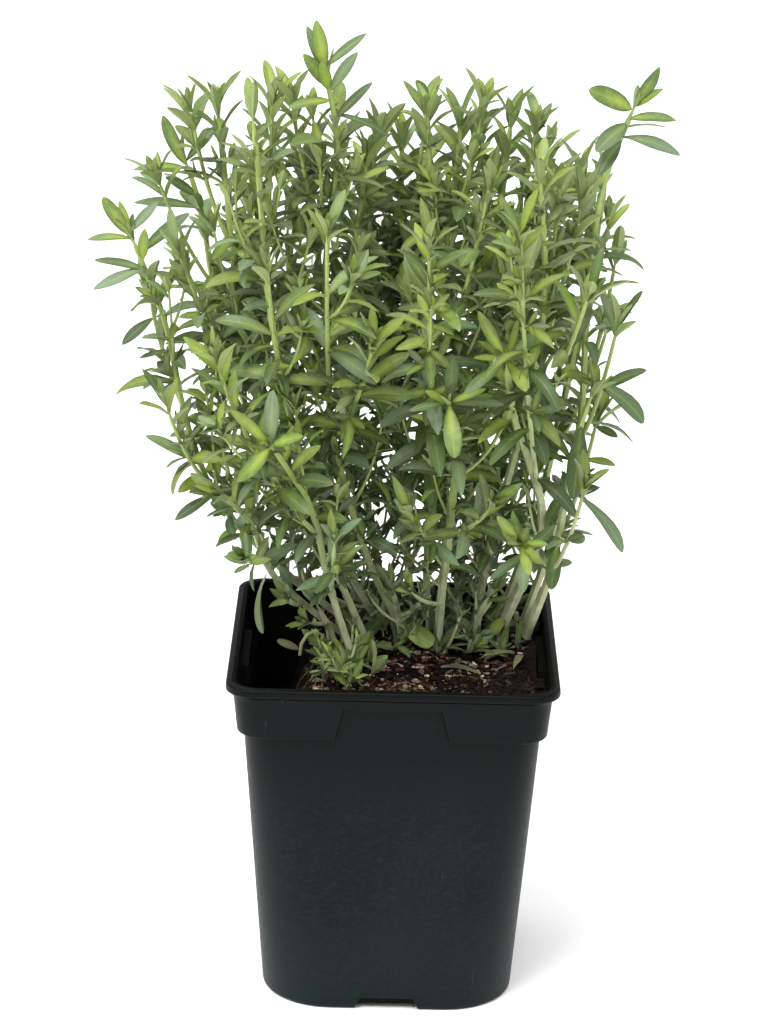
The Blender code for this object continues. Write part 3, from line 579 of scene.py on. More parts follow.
def leaf_material(name, old, young, underside, glow):
    """A leaf: greener and duller when old, pale along its midrib, grey-green below, lit through."""
    n = Nodes(name, 0.42, shine=0.5)
    n.shader.inputs["Sheen Weight"].default_value = 0.2
    youth, tint, along, across = (n.value(key) for key in ("youth", "tint", "along", "across"))
    off_rib = n.math("ABSOLUTE", across)
    mottle = n.noise(380, 3)
    inner = n.math("MULTIPLY", n.span(along, 1.0, 0.1), n.span(off_rib, 1.0, 0.1))
    inner = n.math("ADD", n.span(inner, 0.0, 1.0, -0.3, 0.4), n.span(mottle, 0.3, 0.7, -0.14, 0.14))
    greyish = n.math("ABSOLUTE", n.math("SUBTRACT", tint, 0.4))
    slant = n.math("SUBTRACT", along, n.math("MULTIPLY", off_rib, 0.2))
    veins = n.math("SINE", n.math("MULTIPLY", slant, 52.0))
    veined = n.math("MULTIPLY", n.span(veins, 0.55, 1.0), n.span(off_rib, 1.0, 0.2))
    top = n.layers(
        n.mix(n.math("ADD", youth, inner), old, young),
        (n.span(tint, 0.0, 0.55, 0.75, 0.0), (67, 90, 60)),
        (n.span(tint, 0.7, 1.0, 0.0, 0.5), (152, 162, 66)),
        (n.span(greyish, 0.14, 0.04, 0.0, 0.55), (132, 154, 128)),
        (n.span(off_rib, 0.6, 1.0, 0.0, 0.36), (58, 78, 38)),
        (n.math("MULTIPLY", veined, 0.1), (176, 196, 124)),
        (n.span(off_rib, 0.17, 0.05, 0.0, 0.22), (184, 200, 136)),
    )
    below = n.mix(n.span(off_rib, 0.2, 0.07, 0.0, 0.5), underside, srgb(196, 206, 168))
    colour = n.mix(n.value("under"), top, n.mix(n.math("MULTIPLY", youth, 0.5), below, young))
    worn = n.math("MULTIPLY", n.span(along, 0.8, 1.0), n.span(tint, 0.12, 0.02))
    colour = n.mix(n.math("MAXIMUM", worn, n.value("dry")), colour, srgb(124, 122, 78))
    n.colour(colour)
    n.bump(n.math("ADD", mottle, n.math("MULTIPLY", veined, -0.8)), 0.35, 0.15 * MM)
    through = n.add("BsdfTranslucent", {"Color": n.mix(0.9, colour, glow, "MULTIPLY")})
    both = n.add("MixShader", {0: 0.38, 1: n.shader.outputs[0], 2: through.outputs[0]})
    n.put(both.outputs[0], n.output.inputs["Surface"])
    return n.material


def stem_material():
    """A stem: green above, pale and woody towards its foot, with fine lengthwise streaks."""
    n = Nodes("savory_stem", 0.55, shine=0.3)
    streaks = n.noise(900, 3, n.stretched(1, 1, 0.08))
    green = n.mix(n.value("tint"), srgb(126, 146, 74), srgb(158, 176, 104))
    pale = n.mix(n.span(n.noise(130, 2), 0.35, 0.65), srgb(198, 204, 168), srgb(166, 166, 128))
    colour = n.mix(n.value("wood"), green, pale)
    n.colour(n.layers(colour, (n.span(streaks, 0.35, 0.6, 0.22, 0.0), (112, 108, 70))))
    n.bump(streaks, 0.4, 0.2 * MM)
    return n.material


def plastic_material():
    """Moulded black-green plastic: satin, finely leathery, with painted shade that makes it darker upwards
    and black at the lip.
    """
    n = Nodes("pot_plastic", 0.42, shine=0.1)
    grain = n.noise(1500, 2)
    leather = n.noise(520, 4, n.stretched(1, 1, 1.7), rough=0.7)
    height = n.add("SeparateXYZ", {0: n.place}).outputs["Z"]
    flow = n.noise(40, 3, n.stretched(1, 1, 0.25))
    scuffs = n.noise(260, 3, n.stretched(1, 1, 0.12))
    n.colour(n.layers(
        n.mix(n.span(flow, 0.3, 0.7), srgb(5, 13, 13), srgb(9, 19, 19)),
        (n.span(leather, 0.4, 0.7, 0.0, 0.6), (20, 32, 32)),
        # Painted shade: darker from 60 mm up. The foot is lighter below 50 mm.
        (n.span(height, 60 * MM, 105 * MM, 0.0, 0.85), (3, 7, 7)),
        (n.span(height, 8 * MM, 50 * MM, 0.3, 0.0), (26, 40, 40)),
        (n.span(scuffs, 0.66, 0.78, 0.0, 0.25), (74, 82, 80)),
        # Painted shade: the lip, from its bottom up, near black.
        (n.span(height, LIP_BOTTOM - 0.3 * MM, LIP_BOTTOM + 0.3 * MM, 0.0, 0.95), (3, 4, 4)),
    ))
    n.rough(n.span(leather, 0.3, 0.7, 0.36, 0.5))
    n.bump(n.math("ADD", grain, n.math("MULTIPLY", leather, 1.4)), 0.3, 0.12 * MM)
    return n.material


def inside_shade_material():
    """The inside of the pot, painted near black as the shade that falls inside it."""
    n = Nodes("pot_inside", 0.7, shine=0.06)
    n.colour(n.mix(n.noise(150, 4), srgb(2, 2, 2), srgb(10, 9, 9)))
    return n.material


def peat_material(name, pale_share):
    """Moist peat: from near black through red-brown, with a share of pale bits."""
    n = Nodes(name, 0.8, shine=0.12)
    tint = n.value("tint")
    fine = n.noise(1300, 4, rough=0.7)
    kind = n.span(n.noise(210, 2), 0.42, 0.58)
    colour = n.mix(n.span(tint, 0.0, 0.6), srgb(3, 1, 1), srgb(28, 14, 10))
    colour = n.mix(n.span(tint, 0.6, 0.86), colour, n.mix(kind, srgb(92, 50, 38), srgb(98, 84, 68)))
    pale = n.mix(kind, srgb(192, 172, 156), srgb(150, 138, 108))
    colour = n.mix(n.span(tint, 0.86, 1.0, 0.0, pale_share), colour, pale)
    n.colour(n.layers(
        colour,
        (n.span(n.noise(120, 2), 0.54, 0.64, 0.0, 0.25), (64, 62, 32)),
        (n.span(fine, 0.35, 0.6, 0.75, 0.0), (8, 4, 3)),
    ))
    n.rough(n.span(fine, 0.3, 0.7, 0.6, 0.9))
    n.bump(fine, 0.6, 0.3 * MM)
    return n.material


def fibre_material():
    n = Nodes("root_fibre", 0.7, shine=0.3)
    streaks = n.noise(700, 3)
    n.colour(n.mix(streaks, srgb(78, 62, 44), srgb(150, 136, 104)))
    n.bump(streaks, 0.4, 0.1 * MM)
    return n.material


def floor_material():
    n = Nodes("studio_floor", 0.9, shine=0.1)
    n.colour(n.mix(n.noise(3, 2), (0.91, 0.91, 0.905, 1), (0.95, 0.95, 0.945, 1)))
    return n.material


# Meshes

class Growth:
    """Points, faces and the values that go with them, gathered for one mesh."""

    def __init__(self, *value_names):
        self.points = []
        self.faces = []
        self.looks = []
        self.under = []
        self.values = {name: [] for name in value_names}
        self.count = 0

    def add(self, points, quads, triangles, look=0, under=None, **values):
        self.points.append(points)
        self.faces += (quads + self.count).tolist()
        self.faces += (triangles + self.count).tolist()
        faces = len(quads) + len(triangles)
        self.looks.append(np.full(faces, look))
        self.under.append(np.zeros(faces) if under is None else under)
        for name, stored in self.values.items():
            stored.append(np.broadcast_to(np.asarray(values.get(name, 0.0), float), len(points)))
        self.count += len(points)

    def finish(self, name, materials, sharp=40):
        mesh = bpy.data.meshes.new(name)
        mesh.from_pydata(np.concatenate(self.points).tolist(), [], self.faces)
        mesh.polygons.foreach_set("material_index", np.concatenate(self.looks).astype(np.int32))
        for key, stored in self.values.items():
            layer = mesh.attributes.new(key, "FLOAT", "POINT")
            layer.data.foreach_set("value", np.concatenate(stored).astype(np.float32))
        layer = mesh.attributes.new("under", "FLOAT", "FACE")
        layer.data.foreach_set("value", np.concatenate(self.under).astype(np.float32))
        for made in materials:
            mesh.materials.append(made)
        mesh.polygons.foreach_set("use_smooth", np.ones(len(mesh.polygons), bool))
        mesh.set_sharp_from_angle(angle=math.radians(sharp))
        mesh.update()
        return add_object(name, mesh)


def add_object(name, data, collection=None):
    obj = bpy.data.objects.new(name, data)
    (collection or bpy.context.scene.collection).objects.link(obj)
    return obj


def mesh_of(name, bm):
    mesh = bpy.data.meshes.new(name)
    bm.to_mesh(mesh)
    bm.free()
    return mesh


def dress(obj, slot, *nodes):
    """Puts the piece on the root body and hides the nodes that it stands for. The slot is not used."""
    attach(obj, "root")
    if nodes:
        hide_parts(*nodes)


def skin(rings, around):
    """Faces over rings of points, one after the other, closed by a point at each end."""
    quads = []
    for low in range(0, (rings - 1) * around, around):
        for i in range(around):
            j, high = (i + 1) % around, low + around
            quads.append((low + i, low + j, high + j, high + i))
    start, end, last = rings * around, rings * around + 1, (rings - 1) * around
    triangles = [(start, (i + 1) % around, i) for i in range(around)]
    triangles += [(end, last + i, last + (i + 1) % around) for i in range(around)]
    return np.array(quads), np.array(triangles)


def unit(vectors):
    return vectors / np.linalg.norm(vectors, axis=-1, keepdims=True)


def tube_points(path, radii, sides, squareness=0.0):
    """Rings around a path, with its two ends as single points."""
    path = np.array(path)
    headings = unit(np.gradient(path, axis=0))
    first = unit(np.cross(headings[0], (0.3, 1.0, 0.2)))
    angles = np.arange(sides) / sides * 2 * math.pi
    shape = 1 + squareness * np.cos(4 * angles)
    rings = []
    for point, heading, radius in zip(path, headings, radii):
        first = unit(first - heading * (first @ heading))
        second = np.cross(heading, first)
        around = np.outer(np.cos(angles) * shape, first) + np.outer(np.sin(angles) * shape, second)
        rings.append(point + around * radius)
    start = path[0] - headings[0] * radii[0] * 0.5
    end = path[-1] + headings[-1] * radii[-1] * 0.8
    return np.concatenate(rings + [start[None], end[None]])


# Paths of the stems, as in the model

def smooth_step(share):
    share = min(1.0, max(0.0, share))
    return share * share * (3 - 2 * share)


def soil_height(x, y):
    """The root ball's surface: high at the right, a drop at the left, and clods."""
    edge = SOIL_EDGE_X + 2.5 * MM * math.sin(y / (8 * MM)) + 1.5 * MM * math.sin(y / (3.1 * MM) + 1)
    rise = smooth_step((x - edge + SOIL_EDGE_WIDTH) / SOIL_EDGE_WIDTH)
    mound = 3.0 * MM * math.exp(-((x - 8 * MM) ** 2 + (y - 18 * MM) ** 2) / (24 * MM) ** 2)
    front = 2.5 * MM * smooth_step((x - 18 * MM) / (26 * MM)) * smooth_step((-y - 8 * MM) / (30 * MM))
    clods = 0.9 * MM * math.sin(x / (3.7 * MM) + 0.6) * math.sin(y / (4.3 * MM) + 1.1)
    clods += 0.7 * MM * math.sin((x + y) / (6.1 * MM)) + 0.5 * MM * math.sin((x - 2 * y) / (7.3 * MM))
    return SOIL_LOW + rise * (SOIL_HIGH - SOIL_LOW + mound + front) + clods


def curve_through(points, runs):
    """Points of a smooth curve through the given ones, in runs of equal length."""
    ends = [points[0] * 2 - points[1]] + points + [points[-1] * 2 - points[-2]]
    dense = [points[0].copy()]
    for a, b, c, d in zip(ends, ends[1:], ends[2:], ends[3:]):
        for step in range(1, 13):
            t = step / 12
            bend = (2 * a - 5 * b + 4 * c - d) * t * t + (3 * b - a - 3 * c + d) * t ** 3
            dense.append((2 * b + (c - a) * t + bend) / 2)
    return resample(dense, runs)


def resample(points, runs):
    lengths = [0.0]
    for a, b in zip(points, points[1:]):
        lengths.append(lengths[-1] + (b - a).length)
    even = []
    place = 0
    for i in range(runs + 1):
        wanted = lengths[-1] * i / runs
        while place < len(points) - 2 and lengths[place + 1] < wanted:
            place += 1
        span = lengths[place + 1] - lengths[place]
        even.append(points[place].lerp(points[place + 1], (wanted - lengths[place]) / span))
    return even


def stem_foot(stem):
    x, y = (value * MM for value in stem.foot)
    return Vector((x, y, soil_height(x, y) - HOLE_DEPTH))


def stem_axes(stem, stem_runs, shoot_runs):
    """The paths of a stem, upright in its hole, and of its side shoots, in straight runs."""
    foot = stem_foot(stem)
    neck = foot + Vector((0, 0, HOLE_DEPTH + 3 * MM))
    main = [foot] + curve_through([neck] + [Vector(p) * MM for p in stem.route], stem_runs)
    axes = [main]
    for share, *tip in stem.shoots:
        start, _ = along(main, share * path_length(main))
        tip = Vector(tip) * MM
        reach = tip - start
        elbow = start + Vector((reach.x * 0.62, reach.y * 0.62, reach.z * 0.36))
        bend = [start.lerp(elbow, i / 24).lerp(elbow.lerp(tip, i / 24), i / 24) for i in range(25)]
        axes.append(resample(bend, shoot_runs))
    return axes


def along(path, distance):
    """The point and the direction of a path at a distance from its start."""
    for a, b in zip(path, path[1:]):
        run = (b - a).length
        if distance <= run:
            break
        distance -= run
    heading = (b - a).normalized()
    return a + heading * min(distance, run), heading


def shortened(path, by):
    """A path without its last stretch."""
    length, runs = path_length(path) - by, len(path) - 1
    return [along(path, length * i / runs)[0] for i in range(runs + 1)]


def path_length(path):
    return sum((b - a).length for a, b in zip(path, path[1:]))


# The model's own leaves

def midrib(leaf, share):
    """The point of a leaf's midrib at a share of its length."""
    angle = leaf.lean + leaf.droop * share
    ahead = (math.sin(angle) - math.sin(leaf.lean)) / leaf.droop
    aside = (math.cos(leaf.lean) - math.cos(angle)) / leaf.droop
    return leaf.root + (leaf.along * ahead + leaf.outward * aside) * leaf.length


def half_width(leaf, share):
    return leaf.width / 2 * math.sin(math.pi * share ** 0.8) ** 0.8 if share < 1 else 0.0


class Sights:
    """What leaves keep clear of in the camera's view: stretches of stems, and gaps of the crown."""

    DEPTH_APART = 2 * MM
    points = np.zeros((0, 3))
    gaps = np.array(OPENINGS) * MM

    @staticmethod
    def seen(point):
        """A point as the camera sees it on the plane Y = 0, with its depth."""
        there = point.lerp(CAMERA_PLACE, point.y / (point.y - CAMERA_PLACE.y))
        return there.x, there.z, point.y

    @classmethod
    def add(cls, name, path):
        low, high = (value * MM for value in SEEN_STEMS.get(name, (0, 0)))
        seen = [cls.seen(p) for p in resample(path, 200) if low < p.z < high]
        if seen:
            cls.points = np.concatenate([cls.points, np.array(seen)])

    @classmethod
    def hidden_by(cls, leaf):
        """Whether a leaf would stand in a gap, or in front of such a stretch."""
        for share in (0.2, 0.45, 0.7, 0.95):
            across, up, depth = cls.seen(midrib(leaf, share))
            aside = np.abs(cls.points[:, 0] - across) + np.abs(cls.points[:, 1] - up)
            if np.any((aside < SEEN_WIDTH) & (depth < cls.points[:, 2] - cls.DEPTH_APART)):
                return True
            if np.any(np.hypot(cls.gaps[:, 0] - across, cls.gaps[:, 1] - up) < cls.gaps[:, 2]):
                return True
        return False


class Crowd:
    """The room that stems and leaves take up, as balls sorted into cells."""

    CELL = 6 * MM

    def __init__(self):
        self.cells = {}

    def cell(self, point):
        return tuple(math.floor(value / self.CELL) for value in point)

    def add(self, owner, balls, rooted):
        for point, radius in balls:
            self.cells.setdefault(self.cell(point), []).append((owner, point, radius, rooted))

    def is_free(self, owner, balls, stems_only=False):
        numbered = enumerate(balls)
        return all(self.ball_is_free(owner, *ball, index, stems_only) for index, ball in numbered)

    def ball_is_free(self, owner, point, radius, index, stems_only):
        cx, cy, cz = self.cell(point)
        for x in (cx - 1, cx, cx + 1):
            for y in (cy - 1, cy, cy + 1):
                for z in (cz - 1, cz, cz + 1):
                    for other, centre, size, rooted in self.cells.get((x, y, z), ()):
                        if other == owner and (rooted or index < 2) or stems_only and not rooted:
                            continue
                        if (centre - point).length < radius + size:
                            return False
        return True


def leaf_balls(leaf, room=1.0, clearance=CLEARANCE):
    """Balls along a leaf's midrib that stand for the room that it takes."""
    shares = (0.15, 0.32, 0.5, 0.68, 0.85, 1.0)
    return [(midrib(leaf, share), half_width(leaf, share) * room + clearance) for share in shares]


def clears_pot_and_soil(balls):
    """Whether balls lie clear of the pot's wall and above the soil."""
    for point, radius in balls:
        side = max(abs(point.x), abs(point.y))
        if side - radius > LIP_HALF or point.z - radius > POT_HEIGHT + SOIL_HIGH - SOIL_LOW:
            continue
        if point.z - radius < POT_HEIGHT and side + radius > BODY_HALF_TOP - WALL:
            return False
        if side < LIP_HALF and point.z - radius < soil_height(point.x, point.y) + MM:
            return False
    return True


def draw_leaf(root, heading, outward, age, rng):
    """A leaf that leaves the stem at root. Age runs from 0 at a tip to 1 low on the stem."""
    length = rng.uniform(*LEAF_LENGTH) * (0.72 + 0.28 * smooth_step(age * 4))
    width = length * rng.uniform(*LEAF_SHAPE)
    lean = math.radians(26 + 34 * min(1.0, age * 3) + rng.uniform(-7, 7))
    droop = math.radians(16 + 44 * min(1.0, age * 1.6) + rng.uniform(-10, 16))
    roll = math.radians(rng.uniform(-18, 18))
    return Leaf(root, heading, outward, length, width, lean, droop, roll)


def turned_outward(heading, angle):
    """A direction square to a heading, at an angle about it."""
    across = heading.cross(Vector((0, 1, 0))).normalized()
    return Matrix.Rotation(angle, 3, heading) @ across


def leaves_of_axis(owner, key, path, start, turn, crowd):
    """Crossed pairs of leaves along one axis, the last two pairs close together at its tip."""
    rng = random.Random(key)
    length = path_length(path)
    count = int((length - start) / PAIR_SPACING)
    turn = rng.uniform(0, math.pi) if turn is None else math.radians(turn)
    placed = []
    places = [length - back for back in TIP_PAIRS]
    places += [places[1] - PAIR_SPACING * (i + 0.8) for i in range(count)]
    for level, place in enumerate(places):
        root, heading = along(path, place)
        age = (length - place) / AGE_LENGTH
        for side in range(2):
            for attempt in range(LEAF_TRIES):
                spread = rng.uniform(-0.25, 0.25) * (1 + attempt)
                outward = turned_outward(heading, turn + level * math.pi / 2 + side * math.pi + spread)
                leaf = draw_leaf(root, heading, outward, age, rng)
                balls = leaf_balls(leaf)
                if clears_pot_and_soil(balls) and crowd.is_free(owner, balls):
                    crowd.add(owner, balls, rooted=False)
                    placed.append(Placed(leaf, place / length, age))
                    break
    return turn, placed


def axis_radius(is_main, share):
    """The model's radius of a main stem or side shoot at a share of its length."""
    if is_main:
        return lerp(STEM_RADIUS_FOOT, STEM_RADIUS_TIP, share)
    return lerp(SHOOT_RADIUS_ROOT, SHOOT_RADIUS_TIP, share)


def plan_leaves():
    """Every stem's axes with the leaves that the model has on them, and the room they take."""
    crowd = Crowd()
    paths_of = {name: stem_axes(stem, STEM_RUNS, SHOOT_RUNS) for name, stem in STEMS.items()}
    for name, paths in paths_of.items():
        for index, path in enumerate(paths):
            points = resample(path, STEM_BALLS)
            shares = (i / STEM_BALLS for i in range(STEM_BALLS + 1))
            radii = [axis_radius(index == 0, share) + CLEARANCE for share in shares]
            crowd.add(name, zip(points, radii), rooted=True)
    axes_of = {name: [] for name in STEMS}
    for name, stem in STEMS.items():
        for index, (path, smooth) in enumerate(zip(paths_of[name], stem_axes(stem, *SMOOTH_RUNS))):
            is_whole = name in FULL_TIPS and index == 0
            smooth = shortened(smooth, 0 if is_whole else TIP_CUT[min(index, 1)])
            start, turn = (BARE_ABOVE_SOIL, stem.turn) if index == 0 else (BARE_SHOOT, None)
            turn, placed = leaves_of_axis(name, f"{name} {index}", path, start, turn, crowd)
            axes_of[name].append(Axis(smooth, turn, start, placed))
        extra = stem._replace(shoots=SCENE_SHOOTS.get(name, []))
        for index, smooth in enumerate(stem_axes(extra, *SMOOTH_RUNS)[1:]):
            turn = random.Random(f"{name} extra {index}").uniform(0, math.pi)
            axes_of[name].append(Axis(smooth, turn, BARE_SHOOT, []))
        Sights.add(name, axes_of[name][0].path)
    return axes_of, crowd


# Growth around the model's own leaves

FULL = (np.array([-1, -0.5, 0, 0.5, 1, 0.5, 0, -0.5]), 5)
PLAIN = (np.array([-1, 0, 1, 0]), 3)
LONG_SHARES = np.array([0.02, 0.1, 0.22, 0.36, 0.5, 0.64, 0.77, 0.88, 0.96])
SHORT_SHARES = np.array([0.03, 0.3, 0.6, 0.85])


def blade_points(blade, shares, section):
    """Rings of points around a blade, from its stalk to its tip, then the two end points."""
    leaf = blade.leaf
    across_at, top_count = section
    ahead, outward = np.array(leaf.along), np.array(leaf.outward)
    angle = leaf.lean + leaf.droop * shares
    forth = (np.sin(angle) - math.sin(leaf.lean)) / leaf.droop
    aside = (math.cos(leaf.lean) - np.cos(angle)) / leaf.droop
    centre = np.array(leaf.root) + (np.outer(forth, ahead) + np.outer(aside, outward)) * leaf.length
    heading = np.outer(np.cos(angle), ahead) + np.outer(np.sin(angle), outward)
    upper = np.outer(np.sin(angle), ahead) - np.outer(np.cos(angle), outward)
    across = np.cross(heading, upper)
    roll = (leaf.roll + blade.twist * shares)[:, None]
    cos, sin = np.cos(roll), np.sin(roll)
    upper, across = upper * cos + across * sin, across * cos - upper * sin
    widest = blade.taper / (blade.taper + blade.point)
    outline = (shares / widest) ** blade.taper * ((1 - shares) / (1 - widest)) ** blade.point
    half = outline * leaf.width / 2
    t = across_at[None, :]
    wave = blade.ripple * np.sin(shares[:, None] * 9 + blade.phase + t * 1.5) * t * t
    curl = 0.16 * np.abs(t) ** 3
    lift = (np.abs(t) * math.sin(blade.fold) + wave - curl) * half[:, None]
    side = t * math.cos(blade.fold) * half[:, None]
    thickness = np.where(np.arange(len(across_at)) < top_count, 0.0, 1.0)
    rib = 1.6 - 1.2 * np.abs(t)
    lift = lift - (0.2 * MM + 0.012 * leaf.length * (1 - shares[:, None])) * thickness * rib
    points = centre[:, None] + side[..., None] * across[:, None] + lift[..., None] * upper[:, None]
    root, tip = centre[0] - heading[0] * leaf.length * 0.03, np.array(midrib(leaf, 1.0))
    return np.concatenate([points.reshape(-1, 3), root[None], tip[None]])


def template(shares, section):
    """Faces and the values along, across and under that every blade of this fineness shares."""
    across_at, top_count = section
    rings, around = len(shares), len(across_at)
    quads, triangles = skin(rings, around)
    below = (np.arange(around) >= top_count - 1).astype(float)
    under = np.concatenate([np.tile(below, rings - 1), below, below])
    along_values = np.concatenate([np.repeat(shares, around), [0.0, 1.0]])
    across_values = np.concatenate([np.tile(across_at, rings), [0.0, 0.0]])
    return quads, triangles, under, along_values, across_values


FINE = (LONG_SHARES, FULL, template(LONG_SHARES, FULL))
MEDIUM = (LONG_SHARES[1::2], FULL, template(LONG_SHARES[1::2], FULL))
COARSE = (SHORT_SHARES, PLAIN, template(SHORT_SHARES, PLAIN))


def add_blade(growth, blade, fineness, look=1):
    shares, section, (quads, triangles, under, along_values, across_values) = fineness
    points = blade_points(blade, shares, section)
    growth.add(points, quads, triangles, look, under, along=along_values, across=across_values,
               youth=blade.youth, tint=blade.tint, dry=blade.dry)


def finish_blade(leaf, youth, rng, fresh=0.0):
    """What the model leaves open about a leaf: its full width, fold, waves, twist and shade."""
    sag = SAG * (1 - youth) if leaf.root.z > DRY_BELOW else 0.0
    leaf = leaf._replace(width=leaf.width * rng.uniform(*WIDER), droop=leaf.droop + sag)
    taper, point = rng.uniform(0.8, 1.0), rng.uniform(0.7, 0.92)
    fold = math.radians(rng.uniform(8, 24) + 10 * youth)
    ripple = rng.uniform(0.02, 0.12)
    twist = math.radians(rng.uniform(-26, 26))
    # Leaves low on the plant are made older and darker: partly their age, partly painted shade under the
    # crown.
    height = smooth_step((leaf.root.z - LOW_GROWTH) / (HIGH_GROWTH - LOW_GROWTH))
    at_front = smooth_step((-leaf.root.y - 2 * MM) / (14 * MM)) * (leaf.root.z < BRIGHT_FRONT)
    youth = youth * lerp(0.28, 1.0, max(height, 0.8 * at_front)) + rng.uniform(-0.16, 0.16)
    youth = min(1.0, max(0.0, youth))
    phase, tint, dry = rng.uniform(0, 6), rng.random(), max(0.0, 1 - rng.random() / DRY_SHARE)
    if leaf.root.z > DRY_BELOW or fresh:
        dry = 0.0
    youth, tint = max(youth, fresh * rng.uniform(0.7, 1.1)), max(tint, fresh)
    return Blade(leaf, taper, point, fold, ripple, phase, twist, youth, tint, dry)


def set_blade(spec, rng):
    """A leaf between two given points."""
    root, tip = Vector(spec.root) * MM, Vector(spec.tip) * MM
    ahead = (tip - root).normalized()
    toward = Vector(spec.toward)
    aside = (toward - ahead * toward.dot(ahead)).normalized()
    droop = math.radians(spec.bend)
    length = (tip - root).length * droop / 2 / math.sin(droop / 2)
    leaf = Leaf(root, ahead, aside, length, spec.width * MM, -droop / 2, droop, 0.0)
    fold, ripple, phase, twist = math.radians(spec.fold), 0.06, rng.uniform(0, 6), 0.0
    return Blade(leaf, spec.taper, spec.point, fold, ripple, phase, twist, spec.youth, spec.tint)


def youth_of(age):
    """How young a leaf looks: nearly 0.9 at a tip, and 0 far below it."""
    return 0.9 - 0.9 * smooth_step(0.12 + age * 1.1)


def lowness(height):
    """From 1 just above the soil to 0 higher up."""
    return 1 - smooth_step((height - LOW_GROWTH) / LOW_RISE)


def size_at(height):
    """How large leaves grow at a height, as a share: small just above the soil."""
    return lerp(LEAST_SIZE, 1.0, smooth_step((height - LOW_GROWTH) / SIZE_RISE))


def fill_places(axis, length, is_main):
    """Places of the pairs between the model's own, each with the quarter turns it is turned by."""
    if not axis.placed:
        count = int((length - axis.start) / NODE_SPACING)
        places = [length - distance * MM for distance in (1.2, 4.2, 8.4)]
        places += [places[2] - NODE_SPACING * (i + 0.7) for i in range(count)]
        return [(place, quarter) for quarter, place in enumerate(places) if place > 4 * MM]
    first = length - TIP_PAIRS[1]
    places = [(first - 4.4 * MM, 2), (first - 9.8 * MM, 3), (first - 15.6 * MM, 4.4)]
    next_pair = first - PAIR_SPACING * 0.8
    level = 2
    while next_pair - 2 * NODE_SPACING > axis.start - 18 * MM * is_main:
        places += [(next_pair - NODE_SPACING, level + 1), (next_pair - 2 * NODE_SPACING, level + 2)]
        next_pair -= PAIR_SPACING
        level += 1
    return [(place, quarter) for place, quarter in places if place > 4 * MM]


def is_bare(name, index, place, length):
    """Whether a stretch of a main stem carries only the listed leaves."""
    start, end = (value * MM for value in BARE_SPANS.get(name, (0, 0)))
    return index == 0 and (start <= place < end or place > length - BARE_TIPS.get(name, 0) * MM)


def fill_leaves(name, index, axis, crowd, rng):
    """Pairs of leaves between the model's own, clear of the stems and roughly of other leaves."""
    length = path_length(axis.path)
    placed = []
    for place, quarter in fill_places(axis, length, index == 0):
        if is_bare(name, index, place, length):
            continue
        root, heading = along(axis.path, place)
        age = (length - place) / AGE_LENGTH
        if root.y < HIND and rng.random() < 0.75 * lowness(root.z):
            continue
        for side in range(2):
            for attempt in range(FILL_TRIES):
                spread = rng.uniform(-0.3, 0.3) * (1 + attempt * 0.5)
                turn = axis.turn + (quarter + 2 * side) * math.pi / 2 + spread
                outward = turned_outward(heading, turn)
                leaf = draw_leaf(root, heading, outward, age, rng)
                grown = size_at(root.z)
                leaf = leaf._replace(length=leaf.length * grown * 1.1, width=leaf.width * grown)
                balls = leaf_balls(leaf, room=0.35, clearance=0.1 * MM)
                if not within_outline(midrib(leaf, 0.7), LEAF_REACH) or Sights.hidden_by(leaf):
                    continue
                if clears_pot_and_soil(balls) and crowd.is_free(name, balls):
                    crowd.add(name, balls, rooted=False)
                    placed.append(Placed(leaf, place / length, age))
                    break
    return placed


def add_bud(growth, tip, heading, turn, size, rng):
    """The young leaves that still stand together at the end of an axis."""
    for level in range(2):
        root = tip - heading * (0.8 * MM * level)
        for side in range(2):
            outward = turned_outward(heading, turn + (level + 0.5 + 2 * side) * math.pi / 2)
            length = size * rng.uniform(0.42, 0.55) * (1 + level * 0.45)
            lean = math.radians(rng.uniform(4, 12) + level * 8)
            leaf = Leaf(root, heading, outward, length, length * 0.3, lean, math.radians(12), 0.0)
            add_blade(growth, finish_blade(leaf, 1.0, rng), COARSE)


def add_tuft(growth, root, heading, outward, age, rng, fresh=0.0):
    """A small side shoot in the axil of a leaf: a short stalk with one to three crossed pairs."""
    lean = math.radians(rng.uniform(24, 50))
    direction = (heading * math.cos(lean) + outward * math.sin(lean)).normalized()
    vigour = rng.uniform(0.5, 1.0) * (0.3 + 0.7 * smooth_step(age * 3))
    stalk = 6.5 * MM * vigour * rng.uniform(0.5, 1.0)
    pairs = 1 + int(vigour * 2.6)
    path = [np.array(root + direction * stalk * i / 3) for i in range(4)]
    radii = [value * MM for value in (0.34, 0.32, 0.28, 0.22)]
    growth.add(tube_points(path, radii, 4), *skin(4, 4), look=0, tint=0.6)
    turn = rng.uniform(0, math.pi)
    youth = 0.35 + 0.55 * youth_of(age)
    for level in range(pairs):
        base = root + direction * stalk * (1 - level / (pairs + 0.4))
        length = (5.5 + 6.5 * vigour) * MM * (0.7 + 0.2 * level) * rng.uniform(0.85, 1.15)
        for side in range(2):
            angle = turn + (level + 2 * side) * math.pi / 2 + rng.uniform(-0.3, 0.3)
            aside = turned_outward(direction, angle)
            lean = math.radians(rng.uniform(18, 34) + 14 * level)
            droop = math.radians(rng.uniform(10, 34))
            width = length * rng.uniform(0.25, 0.32)
            roll = math.radians(rng.uniform(-20, 20))
            leaf = Leaf(base, direction, aside, length, width, lean, droop, roll)
            if clears_pot_and_soil(leaf_balls(leaf, 0.5, 0.0)) and not Sights.hidden_by(leaf):
                add_blade(growth, finish_blade(leaf, youth, rng, fresh), COARSE)


def within_outline(point, beyond=0):
    """Whether a point lies in the crown's outline, or no farther beyond it than given."""
    x, y, z = point / MM
    heights, lefts, rights = zip(*CROWN_OUTLINE)
    left, right = np.interp(z, heights, lefts) - beyond, np.interp(z, heights, rights) + beyond
    reach = (right - left) / 2
    return left < x < right and -CROWN_FRONT * reach < y < max(CROWN_BACK * reach, BACK_LEAST)


